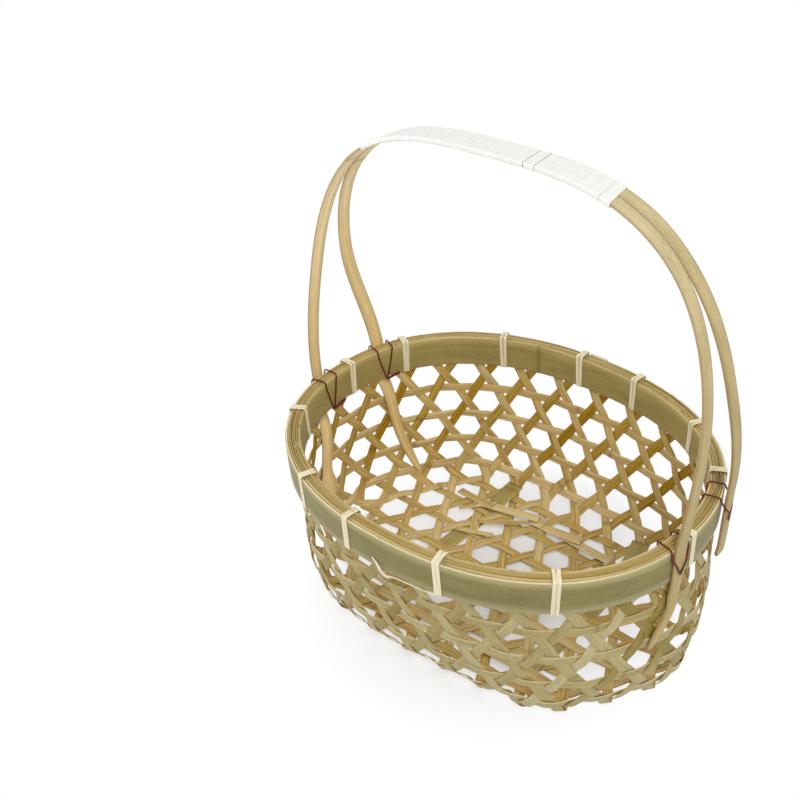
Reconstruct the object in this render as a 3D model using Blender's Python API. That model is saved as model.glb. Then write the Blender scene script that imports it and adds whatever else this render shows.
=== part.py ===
"""Handled bamboo harvest basket, open hexagon weave, in metres. X runs along the long side, Z is up."""

import math

import bpy
import numpy as np
from mathutils import Matrix

for old in list(bpy.data.objects):
    bpy.data.objects.remove(old, do_unlink=True)

# Rim: the oval outer face of the rim, and the height of its top edge over the floor.
RIM_HALF_LENGTH = 0.195
RIM_HALF_WIDTH = 0.160
RIM_HEIGHT = 0.170
RIM_EXPONENT = 2.2
RIM_WALL = 0.013
BAND_HEIGHT = 0.031
BAND_WALL = 0.0022
BAND_DROP = 0.001
LATH_HEIGHT = 0.009
LATH_COUNT = 4
LATH_RISE_SHARES = (-0.06, 0.09, 0.05, -0.08)
OVAL_STEPS = 78
TABLE_STEPS = 1440

# Gap that keeps neighbouring pieces apart.
GAP = 0.0003

# Weave: strips of the open hexagon weave.
STRIP_WIDTH = 0.0078
STRIP_THICKNESS = 0.0005
HOOP_WIDTH = 0.0071
CROSSING_GAP = 0.0013
EDGE_GAP = 0.0019
# How much of its width a strip keeps where it crosses others along the edge of the base.
EDGE_WIDTH_SHARE = 0.72
PITCH_SHARE = 0.1908
ROW_SHARE = 0.2006
BOW_SHARE = 0.41
BOW_LENGTH_SHARE = 0.935
BOW_WIDTH_SHARE = 0.782
BOW_EXPONENT = 2.4
RING_OUT = 0.0034
RING_PHASE_SHARE = -0.0049
RING_OVAL_SHARES = (0.0, 0.426, 0.62, 0.72, 0.88, 1.0)
RING_HEIGHT_SHARES = (0.0, 0.163, 0.350, 0.545, 0.732, 0.918)

# Where the weave stands out past its even shape: how far, at which place, and over how many places.
RIGHT_BULGE = 0.016
RIGHT_BULGE_PLACE_SHARE = 0.05
RIGHT_BULGE_REACH_SHARE = 0.2
FRONT_BULGE = 0.010
FRONT_BULGE_PLACE_SHARE = 0.62
FRONT_BULGE_REACH_SHARE = 0.24
RING_BULGE_SHARES = (1.0, 1.0, 0.9, 0.7, 0.35, 0.0)
BEND_LIMIT = math.radians(15)
# How far past its last crossing a strip ends between the bands of the rim, and how much of its width it keeps.
END_SHARE = 0.5
END_WIDTH_SHARE = 0.6
EVENING_ROUNDS = 260
# Step, in rings and places, over which the slope of the wall is measured.
WALL_NUDGE_SHARE = 0.25

# Base outline, in pitches: the three pairs of sides of the woven hexagon.
LONG_SIDE = 6
RIGHT_SIDE = 4
LEFT_SIDE = 3
WRAP_ROWS = RIGHT_SIDE + LEFT_SIDE
ROUND = 2 * (LONG_SIDE + RIGHT_SIDE + LEFT_SIDE)
RINGS = 5

# Handle: two long strips that meet over the middle.
HANDLE_RISE = 0.2494
HANDLE_HALF_SPAN = 0.1985
HANDLE_EXPONENT = 3.1
HANDLE_WIDTH = 0.0135
HANDLE_THICKNESS = 0.0023
NEAR_SPREAD = 0.030
FAR_SPREAD = 0.046
SPREAD_START_SHARE = 0.15
SPREAD_POWER = 1.4
LEG_END_WIDTH = 0.0085
LEG_END_THICKNESS = 0.0016
ARCH_DIP = 0.010
ARCH_FROM = 0.012
LEAN_HEIGHT = 0.12
ARCH_STEPS = 60
ARCH_NUDGE = 0.002

# Legs of the handle: how far each stands off the rim, and its way down the weave as
# (ring, side of the weave, share of the taper, place). Two go in through the top row, and two stay outside.
LEG_STAND_OFF = {"near_left": 0.0, "far_left": 0.0, "near_right": 0.0, "far_right": 0.004}
LEG_RUN_SHARES = {
    "near_left": (
        (4.0, 0.0, 0.2, 13.98),
        (3.5, -1.3, 0.35, 14.0),
        (3.0, -1.0, 0.5, 14.0),
        (2.5, -1.0, 0.65, 14.1),
        (1.9, -1.0, 1.0, 14.25),
    ),
    "far_left": (
        (4.0, 0.0, 0.2, 12.08),
        (3.5, -1.3, 0.35, 12.05),
        (3.0, -1.0, 0.45, 12.0),
        (2.0, -1.0, 0.6, 11.82),
        (1.2, -1.0, 0.8, 11.65),
        (0.7, -1.3, 1.0, 11.57),
    ),
    "near_right": (
        (3.8, 1.3, 0.15, 25.5),
        (3.5, 1.15, 0.3, 25.48),
        (3.0, 1.0, 0.5, 25.3),
        (2.5, 1.0, 0.85, 25.13),
        (2.2, 1.0, 1.0, 25.05),
    ),
    "far_right": (
        (3.8, 1.6, 0.2, 1.35),
        (3.5, 1.3, 0.5, 1.42),
        (3.1, 1.0, 1.0, 1.5),
    ),
}

# Tape wound round both handle strips.
TAPE_TURNS = 24
TAPE_THICKNESS = 0.0006
TAPE_LEFT_SHARE = 0.65
TAPE_RIGHT_SHARE = 0.54
TAPE_CORNER = 0.0005
TAPE_SPACE = 0.0012
# How far along its turn the tape has come at each of its eight corners.
TAPE_CORNER_SHARES = (0.0, 0.03, 0.05, 0.47, 0.49, 0.53, 0.55, 0.97)

# Reinforcing strips over and under the base.
LONG_BRACE_WIDTH = 0.009
LONG_BRACE_THICKNESS = 0.0012
CROSS_BRACE_WIDTH = 0.016
CROSS_BRACE_THICKNESS = 0.001
CROSS_BRACE_QUARTERS = (-7, 9)
LONG_BRACE_CUT_SHARE = 0.15
DIP_SHARE = 0.36
TIP_SHARE = 0.84

# Cane ties and wires on the rim.
TIE_WIDTH = 0.005
TIE_THICKNESS = 0.0007
TIE_PLACES = (1.87, 3.5, 5.5, 7.0, 9.0, 11.49, 13.06, 15.1, 17.5, 19.0, 21.05, 23.1, 25.87)
WIRE_RADIUS = 0.0006
WIRE_SMOOTHNESS = 1
WIRE_REACH = 0.0105
WIRE_DROP = 0.0135
WIRE_TAIL = 0.027
WIRE_TAIL_REACH = 0.0015
# How far down its tail a wire leaves the inner band, and how far down its drop it turns in over the leg.
WIRE_TAIL_SHARES = (1.0, 0.6, 0.16)
WIRE_DROP_SHARES = (0.55, 0.85)
WIRE_LEAN_SHARE = 0.8
CLEAR = 0.00045

UP = np.array([0.0, 0.0, 1.0])

# Half the distance between two strips where they cross, in the weave and along the edge of the base.
CROSSING_LIFT = CROSSING_GAP + STRIP_THICKNESS / 2
EDGE_LIFT = EDGE_GAP + STRIP_THICKNESS / 2
# The middle of the weave in the base, which rests on the strips that cross under it.
WEAVE_FLOOR = CROSS_BRACE_THICKNESS + GAP + EDGE_LIFT + STRIP_THICKNESS / 2
PITCH = PITCH_SHARE * RIM_HALF_LENGTH
ROW = ROW_SHARE * RIM_HALF_WIDTH
TURN = 2 * math.pi

basket = bpy.data.collections.new("bamboo_harvest_basket")
bpy.context.scene.collection.children.link(basket)


def unit(vector):
    return vector / np.linalg.norm(vector)


# Looks: colour and roughness.
BAMBOO_INNER = (0.60, 0.42, 0.19, 0.6)
BAMBOO_SKIN = (0.42, 0.42, 0.24, 0.6)
BAMBOO_HANDLE = (0.66, 0.49, 0.28, 0.5)
CANE = (0.90, 0.86, 0.70, 0.55)
WIRE = (0.18, 0.05, 0.03, 0.35)


def add(name, shape, look):
    """An object of the basket with its own material."""
    own = bpy.data.materials.new(name)
    own.use_nodes = True
    shader = own.node_tree.nodes["Principled BSDF"]
    *colour, roughness = look
    shader.inputs["Base Color"].default_value = (*colour, 1.0)
    shader.inputs["Roughness"].default_value = roughness
    made = bpy.data.objects.new(name, shape)
    made.data.materials.append(own)
    basket.objects.link(made)
    return made


def loft(name, sections, look, closed=False):
    """One solid through a row of outlines, all with as many corners and going the same way round."""
    sections = [np.asarray(s) for s in sections]
    corners = len(sections[0])
    points = np.concatenate(sections)
    faces = []
    count = len(sections)
    for i in range(count if closed else count - 1):
        here, there = i * corners, ((i + 1) % count) * corners
        for c in range(corners):
            d = (c + 1) % corners
            faces.append((here + c, here + d, there + d, there + c))
    if not closed:
        faces.append(tuple(range(corners))[::-1])
        faces.append(tuple((count - 1) * corners + c for c in range(corners)))
    if signed_volume(points, faces) < 0:
        faces = [f[::-1] for f in faces]
    mesh = bpy.data.meshes.new(name)
    mesh.from_pydata([tuple(map(float, p)) for p in points], [], faces)
    mesh.validate()
    mesh.update()
    add(name, mesh, look)


def signed_volume(points, faces):
    total = 0.0
    for face in faces:
        a = points[face[0]]
        for k in range(1, len(face) - 1):
            total += float(np.dot(a, np.cross(points[face[k]], points[face[k + 1]])))
    return total


def slab(centre, normal, across, width, thickness):
    """A flat outline: width along across, thickness along normal."""
    half_w, half_t = across * width / 2, normal * thickness / 2
    low, high = centre - half_t, centre + half_t
    return [low - half_w, low + half_w, high + half_w, high - half_w]


# The oval, measured by distance round it.
def oval_table(half_length, half_width, exponent):
    angle = np.linspace(0.0, TURN, TABLE_STEPS + 1)
    c, s = np.cos(angle), np.sin(angle)
    x = half_length * np.sign(c) * np.abs(c) ** (2 / exponent)
    y = half_width * np.sign(s) * np.abs(s) ** (2 / exponent)
    run = np.concatenate([[0.0], np.cumsum(np.hypot(np.diff(x), np.diff(y)))])
    return run / run[-1], x, y


def oval_point(table, share):
    share = share % 1.0
    return np.array([np.interp(share, table[0], table[1]), np.interp(share, table[0], table[2])])


RIM_TABLE = oval_table(RIM_HALF_LENGTH, RIM_HALF_WIDTH, RIM_EXPONENT)
MID_TABLE = oval_table(RIM_HALF_LENGTH - RIM_WALL / 2, RIM_HALF_WIDTH - RIM_WALL / 2, RIM_EXPONENT)
BOW_TABLE = oval_table(
    BOW_LENGTH_SHARE * RIM_HALF_LENGTH, BOW_WIDTH_SHARE * RIM_HALF_WIDTH, BOW_EXPONENT
)
SIDE_ENDS = np.cumsum([0, RIGHT_SIDE, LONG_SIDE, LEFT_SIDE, RIGHT_SIDE, LONG_SIDE, LEFT_SIDE])


def grid_point(row, quarter):
    """Where a hexagon of the flat base lies: rows count from the far side, quarters are quarter pitches."""
    return np.array([quarter * PITCH / 4, (WRAP_ROWS / 2 - row) * ROW])


def row_quarters(row):
    """The quarter pitches at which a row of the base has its hexagons, from left to right."""
    skew = RIGHT_SIDE - LEFT_SIDE
    left = -(2 * LONG_SIDE + skew) - 2 * min(row, 2 * LEFT_SIDE - row)
    right = 2 * LONG_SIDE - skew + 2 * min(row, 2 * RIGHT_SIDE - row)
    return list(range(left, right + 1, 4))


def outline_keys():
    """The hexagons on the edge of the base, one way round from the right tip."""
    last = WRAP_ROWS
    keys = [(row, row_quarters(row)[-1]) for row in range(RIGHT_SIDE, 0, -1)]
    keys += [(0, q) for q in row_quarters(0)[::-1]]
    keys += [(row, row_quarters(row)[0]) for row in range(1, last)]
    keys += [(last, q) for q in row_quarters(last)]
    keys += [(row, row_quarters(row)[-1]) for row in range(last - 1, RIGHT_SIDE, -1)]
    return keys


OUTLINE = outline_keys()
CORNERS = np.array([grid_point(*OUTLINE[int(end) % ROUND]) for end in SIDE_ENDS])


def bulge(share, ring):
    """How far the weave stands out at a share of the way round."""
    total = 0.0
    for size, middle, reach in (
        (RIGHT_BULGE, RIGHT_BULGE_PLACE_SHARE, RIGHT_BULGE_REACH_SHARE),
        (FRONT_BULGE, FRONT_BULGE_PLACE_SHARE, FRONT_BULGE_REACH_SHARE),
    ):
        apart = abs((share - middle + 0.5) % 1.0 - 0.5) / reach
        total += size * math.cos(min(apart, 1.0) * math.pi / 2) ** 2
    return total * float(np.interp(ring, range(RINGS + 1), RING_BULGE_SHARES))


def base_outline(place, out=0.0):
    """A point of the base edge, bowed towards an oval; place counts hexagons from the right tip."""
    place = place % ROUND
    flat = np.array([np.interp(place, SIDE_ENDS, CORNERS[:, i]) for i in (0, 1)])
    bowed = oval_point(BOW_TABLE, place / ROUND + RING_PHASE_SHARE)
    point = (1 - BOW_SHARE) * flat + BOW_SHARE * bowed
    return point * (1 + out / np.hypot(*point))


def ring_height(ring):
    share = float(np.interp(ring, range(RINGS + 1), RING_HEIGHT_SHARES))
    return WEAVE_FLOOR + share * (RIM_HEIGHT - WEAVE_FLOOR)


def wall_point(ring, place):
    """A point of the middle of the weave at a ring, which may be a fraction."""
    blend = float(np.interp(ring, range(RINGS + 1), RING_OVAL_SHARES))
    low = base_outline(place, RING_OUT * min(ring, 1.0))
    high = oval_point(MID_TABLE, place / ROUND + RING_PHASE_SHARE)
    flat = (1 - blend) * low + blend * high
    flat = flat * (1 + bulge(place / ROUND, ring) / np.hypot(*flat))
    return np.array([flat[0], flat[1], ring_height(ring)])


# The net of hexagon centres: base rows first, then the rings up the wall.
spot = {}
for row in range(WRAP_ROWS + 1):
    for quarter in row_quarters(row):
        spot[(row, quarter)] = np.array([*grid_point(row, quarter), WEAVE_FLOOR])


def around(key):
    row, q = key
    in_row = [(row, q + 4), (row, q - 4)]
    return in_row + [(row + 1, q + 2), (row + 1, q - 2), (row - 1, q + 2), (row - 1, q - 2)]


for index, key in enumerate(OUTLINE):
    spot[key] = np.array([*base_outline(index, bulge(index / ROUND, 0)), WEAVE_FLOOR])
inside = [key for key in spot if key not in OUTLINE]
for _ in range(EVENING_ROUNDS):
    for key in inside:
        spot[key] = sum(spot[k] for k in around(key)) / 6


def ring_key(ring, index):
    index = index % ROUND
    return OUTLINE[index] if ring == 0 else ("wall", ring, index)


for ring in range(1, RINGS + 1):
    for index in range(ROUND):
        spot[ring_key(ring, index)] = wall_point(ring, index + ring / 2)

corners_of = []
base_keys = [key for key in spot if key[0] != "wall"]
for row, q in base_keys:
    for step in (1, -1):
        face = [(row, q), (row, q + 4), (row + step, q + 2)]
        if all(k in spot for k in face):
            corners_of.append(face)
for ring in range(RINGS):
    for index in range(ROUND):
        a, b = ring_key(ring, index), ring_key(ring, index + 1)
        c, d = ring_key(ring + 1, index), ring_key(ring + 1, index - 1)
        corners_of.append([a, b, c])
        corners_of.append([a, c, d])

# Each net triangle is turned so that its outward side is known.
HEART = np.array([0.0, 0.0, RIM_HEIGHT])
face_normal = {}
edge_faces = {}
for face in corners_of:
    a, b, c = (spot[k] for k in face)
    normal = np.cross(b - a, c - a)
    if np.dot(normal, (a + b + c) / 3 - HEART) < 0:
        face[1], face[2] = face[2], face[1]
        normal = -normal
    face_normal[tuple(face)] = unit(normal)
    for i in range(3):
        edge_faces.setdefault(frozenset((face[i], face[(i + 1) % 3])), []).append(tuple(face))


def third(face, edge):
    return next(k for k in face if k not in edge)


def across_edge(a, b, behind):
    """The net point on the far side of an edge, or None at the rim."""
    edge = frozenset((a, b))
    for face in edge_faces[edge]:
        if third(face, edge) != behind:
            return third(face, edge)
    return None


def goes_round(face, a, b):
    return any(face[i] == a and face[(i + 1) % 3] == b for i in range(3))


def crossing(behind, a, b):
    """(point, outward normal, side) where a strip coming from behind crosses the edge a b."""
    edge = frozenset((a, b))
    faces = edge_faces[edge]
    normal = unit(sum(face_normal[f] for f in faces))
    middle = (spot[a] + spot[b]) / 2
    own = next(f for f in faces if third(f, edge) == behind)
    side = 1 if goes_round(own, a, b) else -1
    return middle, normal, side


def trace(a, b, first):
    """The net points that a strip zigzags through, until the rim or its own start."""
    path = [a, b, first]
    while True:
        beyond = across_edge(path[-2], path[-1], path[-3])
        if beyond is None:
            return path, False
        path.append(beyond)
        if path[-3:] == path[:3]:
            return path[:-3], True


def strip_stations(path, closed):
    """Crossings of one strip, in order, as (point, normal, share of the width)."""
    count = len(path)
    stations = []
    spans = range(count) if closed else range(1, count - 2)
    for i in spans:
        behind, a, b = path[(i - 1) % count], path[i % count], path[(i + 1) % count]
        middle, normal, side = crossing(behind, a, b)
        at_edge = a in OUTLINE or b in OUTLINE
        lift, share = (EDGE_LIFT, EDGE_WIDTH_SHARE) if at_edge else (CROSSING_LIFT, 1.0)
        stations.append((middle + normal * side * lift, normal, share))
    if closed:
        return stations
    return [rim_end(path[0], path[1], path[2])] + stations + [rim_end(path[-1], path[-2], path[-3])]


def rim_end(outer, shared, inner):
    """Where a strip stops between the two bands of the rim, short of the next crossing."""
    last = (spot[shared] + spot[inner]) / 2
    top = (spot[outer] + spot[shared]) / 2
    point = last + (top - last) * END_SHARE
    return point, unit(np.array([last[0], last[1], 0.0])), END_WIDTH_SHARE


def directions(points, closed):
    count = len(points)
    found = []
    for i in range(count):
        before = points[i - 1] if closed or i else points[0]
        after = points[(i + 1) % count] if closed or i < count - 1 else points[-1]
        found.append(unit(after - before))
    return found


def strip_sections(stations, closed, width):
    """Outlines at each crossing, with one more halfway wherever the weave bends sharply."""
    along = directions([p for p, _, _ in stations], closed)
    sections = []
    count = len(stations)
    for i, (point, normal, share) in enumerate(stations):
        forward = unit(along[i] - normal * np.dot(along[i], normal))
        sections.append(slab(point, normal, np.cross(normal, forward), width * share, STRIP_THICKNESS))
        if not closed and i == count - 1:
            break
        after, after_normal, after_share = stations[(i + 1) % count]
        if math.acos(min(1.0, float(np.dot(normal, after_normal)))) < BEND_LIMIT:
            continue
        length = np.linalg.norm(after - point)
        middle_normal = unit(normal + after_normal)
        swell = (along[i] - along[(i + 1) % count]) * length / 8
        middle = (point + after) / 2 + middle_normal * np.dot(swell, middle_normal)
        aside = unit(np.cross(middle_normal, after - point))
        middle_width = width * (share + after_share) / 2
        sections.append(slab(middle, middle_normal, aside, middle_width, STRIP_THICKNESS))
    return sections


# Strips that run over the base and up both walls.
seen = set()
weavers = []
for index in range(ROUND):
    a, b = ring_key(RINGS, index), ring_key(RINGS, index + 1)
    inner = across_edge(a, b, None)
    for first, second in ((a, b), (b, a)):
        if (first, second) in seen:
            continue
        path, closed = trace(first, second, inner)
        seen.add((first, second))
        seen.add((path[-1], path[-2]))
        weavers.append(path)
for number, path in enumerate(weavers, 1):
    stations = strip_stations(path, False)
    loft(f"weaver_{number:02d}", strip_sections(stations, False, STRIP_WIDTH), BAMBOO_INNER)

# Hoops that run round the wall between the rings of hexagons.
for ring in range(RINGS - 1):
    start = [ring_key(ring, 0), ring_key(ring + 1, 0), ring_key(ring, 1)]
    path, closed = trace(*start)
    sections = strip_sections(strip_stations(path, True), True, HOOP_WIDTH)
    loft(f"hoop_{ring + 1}", sections, BAMBOO_INNER, closed=True)


# Rim: two bands with thin laths on edge between them.
def rim_frame(share):
    """Outer face point, outward direction and forward direction at a share of the way round the rim."""
    x, y = oval_point(RIM_TABLE, share)
    power = RIM_EXPONENT - 1
    out = unit(
        np.array(
            [
                math.copysign(abs(x / RIM_HALF_LENGTH) ** power / RIM_HALF_LENGTH, x),
                math.copysign(abs(y / RIM_HALF_WIDTH) ** power / RIM_HALF_WIDTH, y),
                0.0,
            ]
        )
    )
    return np.array([x, y, 0.0]), out, np.cross(UP, out)


RIM_LENGTH = float(np.sum(np.hypot(np.diff(RIM_TABLE[1]), np.diff(RIM_TABLE[2]))))


def flat_ring(name, outlines, thickness, look):
    """A flat ring between two closed outlines, which lie in the object's own XY plane."""
    line = bpy.data.curves.new(name, "CURVE")
    line.dimensions = "2D"
    line.fill_mode = "BOTH"
    line.extrude = thickness / 2
    for outline in outlines:
        spline = line.splines.new("POLY")
        spline.points.add(len(outline) - 1)
        spline.use_cyclic_u = True
        for point, (x, y) in zip(spline.points, outline):
            point.co = (float(x), float(y), 0.0, 1.0)
    return add(name, line, look)


def rim_ring(name, outer, inner, low, high, look):
    """A closed ring whose section lies between two depths behind the outer face and two heights."""
    frames = [rim_frame(step / OVAL_STEPS) for step in range(OVAL_STEPS)]
    outlines = [[(point - out * depth)[:2] for point, out, _ in frames] for depth in (outer, inner)]
    flat_ring(name, outlines, high - low, look).location.z = (low + high) / 2


BAND_TOP = RIM_HEIGHT - BAND_DROP
BAND_FOOT = BAND_TOP - BAND_HEIGHT
rim_ring("rim_band_outer", 0.0, BAND_WALL, BAND_FOOT, BAND_TOP, BAMBOO_SKIN)
rim_ring("rim_band_inner", RIM_WALL - BAND_WALL, RIM_WALL, BAND_FOOT, BAND_TOP, BAMBOO_SKIN)
lath_space = RIM_WALL - 2 * BAND_WALL
lath_wall = (lath_space - (LATH_COUNT + 1) * GAP) / LATH_COUNT
for lath in range(LATH_COUNT):
    depth = BAND_WALL + GAP + lath * (lath_wall + GAP)
    rise = LATH_HEIGHT * LATH_RISE_SHARES[lath]
    name = f"rim_lath_{lath + 1}"
    rim_ring(name, depth, depth + lath_wall, RIM_HEIGHT - LATH_HEIGHT, RIM_HEIGHT + rise, BAMBOO_INNER)
LATH_TOP = RIM_HEIGHT + LATH_HEIGHT * max(LATH_RISE_SHARES)


# Handle: the line of the arch in the middle plane, by distance along it.
def arch_table():
    angle = np.linspace(0.0, math.pi, TABLE_STEPS + 1)
    c, s = np.cos(angle), np.sin(angle)
    x = -HANDLE_HALF_SPAN * np.sign(c) * np.abs(c) ** (2 / HANDLE_EXPONENT)
    z = RIM_HEIGHT - ARCH_DIP + (HANDLE_RISE + ARCH_DIP) * np.abs(s) ** (2 / HANDLE_EXPONENT)
    run = np.concatenate([[0.0], np.cumsum(np.hypot(np.diff(x), np.diff(z)))])
    return run, x, z


ARCH = arch_table()
ARCH_LENGTH = ARCH[0][-1]
SPREAD_FROM = HANDLE_WIDTH / 2 + GAP / 2


def arch_point(run):
    return float(np.interp(run, ARCH[0], ARCH[1])), float(np.interp(run, ARCH[0], ARCH[2]))


def arch_direction(run):
    x0, z0 = arch_point(run - ARCH_NUDGE)
    x1, z1 = arch_point(run + ARCH_NUDGE)
    return unit(np.array([x1 - x0, 0.0, z1 - z0]))


def spread(z, widest):
    """How far from the middle plane the centre of one handle strip lies at a height."""
    down = min(1.0, max(0.0, (RIM_HEIGHT + HANDLE_RISE - z) / HANDLE_RISE))
    share = max(0.0, down - SPREAD_START_SHARE) / (1 - SPREAD_START_SHARE)
    return SPREAD_FROM + (widest - SPREAD_FROM) * share**SPREAD_POWER


def leg_share(leg):
    """The share of the way round the rim where a leg stands."""
    shares = np.linspace(0.0, 0.25, TABLE_STEPS + 1)
    ys = np.array([oval_point(RIM_TABLE, s)[1] for s in shares])
    turn = float(np.interp(leg["spread"], ys, shares))
    turn = turn if leg["far"] == leg["right"] else -turn
    return turn if leg["right"] else 0.5 + turn


LEGS = {}
for name, run in LEG_RUN_SHARES.items():
    leg = {"far": "far" in name, "right": "right" in name, "run": run}
    leg["spread"] = FAR_SPREAD if leg["far"] else NEAR_SPREAD
    leg["share"] = leg_share(leg)
    foot, out, _ = rim_frame(leg["share"])
    leg["out"] = out
    leg["face"] = LEG_STAND_OFF[name] + CLEAR
    leg["stand"] = foot + out * (leg["face"] + HANDLE_THICKNESS / 2)
    LEGS[name] = leg


def woven_point(ring, place):
    """Where the woven wall itself lies: flat between each three neighbouring hexagon centres."""
    low = min(math.floor(ring), RINGS - 1)
    rise = ring - low
    index = math.floor(place - ring / 2)
    along = place - ring / 2 - index
    a, b = spot[ring_key(low, index)], spot[ring_key(low, index + 1)]
    c, d = spot[ring_key(low + 1, index)], spot[ring_key(low + 1, index + 1)]
    if along + rise <= 1:
        return a * (1 - along - rise) + b * along + c * rise
    return b * (1 - rise) + c * (1 - along) + d * (along + rise - 1)


def wall_out(ring, place):
    """Outward direction of the wall of the weave."""
    up_wall = woven_point(ring + WALL_NUDGE_SHARE, place) - woven_point(ring - WALL_NUDGE_SHARE, place)
    along = wall_point(ring, place + WALL_NUDGE_SHARE) - wall_point(ring, place - WALL_NUDGE_SHARE)
    return unit(np.cross(along, up_wall))


WEAVE_HALF = CROSSING_LIFT + STRIP_THICKNESS / 2


def taper(share):
    width = HANDLE_WIDTH + (LEG_END_WIDTH - HANDLE_WIDTH) * share
    thickness = HANDLE_THICKNESS + (LEG_END_THICKNESS - HANDLE_THICKNESS) * share
    return width, thickness


def leg_stations(name):
    """(centre, outward direction, width, thickness) from the top of the rim down to the end of the leg."""
    leg = LEGS[name]
    stations = []
    for height in (RIM_HEIGHT + BAND_DROP, BAND_TOP - BAND_HEIGHT / 2, BAND_FOOT - HANDLE_THICKNESS):
        stations.append((leg["stand"] + UP * height, leg["out"], HANDLE_WIDTH, HANDLE_THICKNESS))
    for ring, side, share, place in leg["run"]:
        width, thickness = taper(share)
        out = wall_out(ring, place)
        offset = side * (WEAVE_HALF + 2 * CLEAR + thickness / 2)
        stations.append((woven_point(ring, place) + out * offset, out, width, thickness))
    return stations


def handle_strip(name, side, left, right):
    """One strip of the handle with the two legs it ends in."""
    low = next(r for r, z in zip(ARCH[0], ARCH[2]) if z > RIM_HEIGHT + ARCH_FROM)
    stations = []
    for step in range(ARCH_STEPS + 1):
        run = low + (ARCH_LENGTH - 2 * low) * step / ARCH_STEPS
        x, z = arch_point(run)
        leg = LEGS[left] if x < 0 else LEGS[right]
        toward = max(0.0, 1 - (z - RIM_HEIGHT) / LEAN_HEIGHT)
        centre = np.array([x, side * spread(z, leg["spread"]), z])
        centre[:2] += (leg["stand"][:2] - centre[:2]) * toward**2
        out = np.cross(arch_direction(run), np.array([0.0, 1.0, 0.0]))
        out = unit(-out) if out[2] < 0 or out[0] * x < 0 else unit(out)
        out = unit(out * (1 - toward) + leg["out"] * toward)
        stations.append((centre, out, HANDLE_WIDTH, HANDLE_THICKNESS))
    line = leg_stations(left)[::-1] + stations + leg_stations(right)
    along = directions([station[0] for station in line], False)
    sections = []
    for (centre, out, width, thickness), forward in zip(line, along):
        normal = unit(out - forward * np.dot(out, forward))
        sections.append(slab(centre, normal, np.cross(normal, forward), width, thickness))
    loft(name, sections, BAMBOO_HANDLE)


handle_strip("handle_strip_near", -1, "near_left", "near_right")
handle_strip("handle_strip_far", 1, "far_left", "far_right")


# Tape wound in one unbroken run round both strips of the handle.
def tape_loop(z):
    """Corners of one turn as (sideways, outward, direction of the thickness)."""
    wide = spread(z, FAR_SPREAD) + HANDLE_WIDTH / 2 + 2 * CLEAR + TAPE_THICKNESS / 2
    high = HANDLE_THICKNESS / 2 + CLEAR + TAPE_THICKNESS / 2
    cut = TAPE_CORNER
    slant = math.sqrt(0.5)
    return [
        (wide, cut - high, (1.0, -slant / 2)),
        (wide, high - cut, (1.0, slant / 2)),
        (wide - cut, high, (slant / 2, 1.0)),
        (cut - wide, high, (-slant / 2, 1.0)),
        (-wide, high - cut, (-1.0, slant / 2)),
        (-wide, cut - high, (-1.0, -slant / 2)),
        (cut - wide, -high, (-slant / 2, -1.0)),
        (wide - cut, -high, (slant / 2, -1.0)),
    ]


def tape():
    first = next(r for r, x in zip(ARCH[0], ARCH[1]) if x > -TAPE_LEFT_SHARE * HANDLE_HALF_SPAN)
    last = next(r for r, x in zip(ARCH[0], ARCH[1]) if x > TAPE_RIGHT_SHARE * HANDLE_HALF_SPAN)
    pitch = (last - first) / TAPE_TURNS
    width = pitch - TAPE_SPACE
    sections = []
    per_turn = len(TAPE_CORNER_SHARES)
    for count in range(TAPE_TURNS * per_turn - per_turn + 1):
        turn, corner = divmod(count, per_turn)
        run = first + width / 2 + pitch * (turn + TAPE_CORNER_SHARES[corner])
        x, z = arch_point(run)
        forward = arch_direction(run)
        out = unit(np.cross(forward, np.array([0.0, -1.0, 0.0])))
        out = out if out[2] > 0 or out[0] * x > 0 else -out
        sideways, outward, lean = tape_loop(z)[corner]
        centre = np.array([x, sideways, z]) + out * outward
        thick = unit(np.array([0.0, 1.0, 0.0]) * lean[0] + out * lean[1])
        sections.append(slab(centre, thick, forward, width, TAPE_THICKNESS))
    least = min(
        float(np.linalg.norm(np.asarray(sections[i])[1] - np.asarray(sections[i + per_turn])[0]))
        for i in range(len(sections) - per_turn)
    )
    print(f"least gap between turns of the tape: {least * 1000:.2f} mm")
    loft("handle_tape", sections, CANE)


tape()


# Wires that lash each leg to the rim.
def tube(name, points, radius, look):
    line = bpy.data.curves.new(name, "CURVE")
    line.dimensions = "3D"
    line.bevel_depth = radius
    line.bevel_resolution = WIRE_SMOOTHNESS
    line.use_fill_caps = True
    spline = line.splines.new("POLY")
    spline.points.add(len(points) - 1)
    for point, place in zip(spline.points, points):
        point.co = (*map(float, place), 1.0)
    add(name, line, look)


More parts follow.
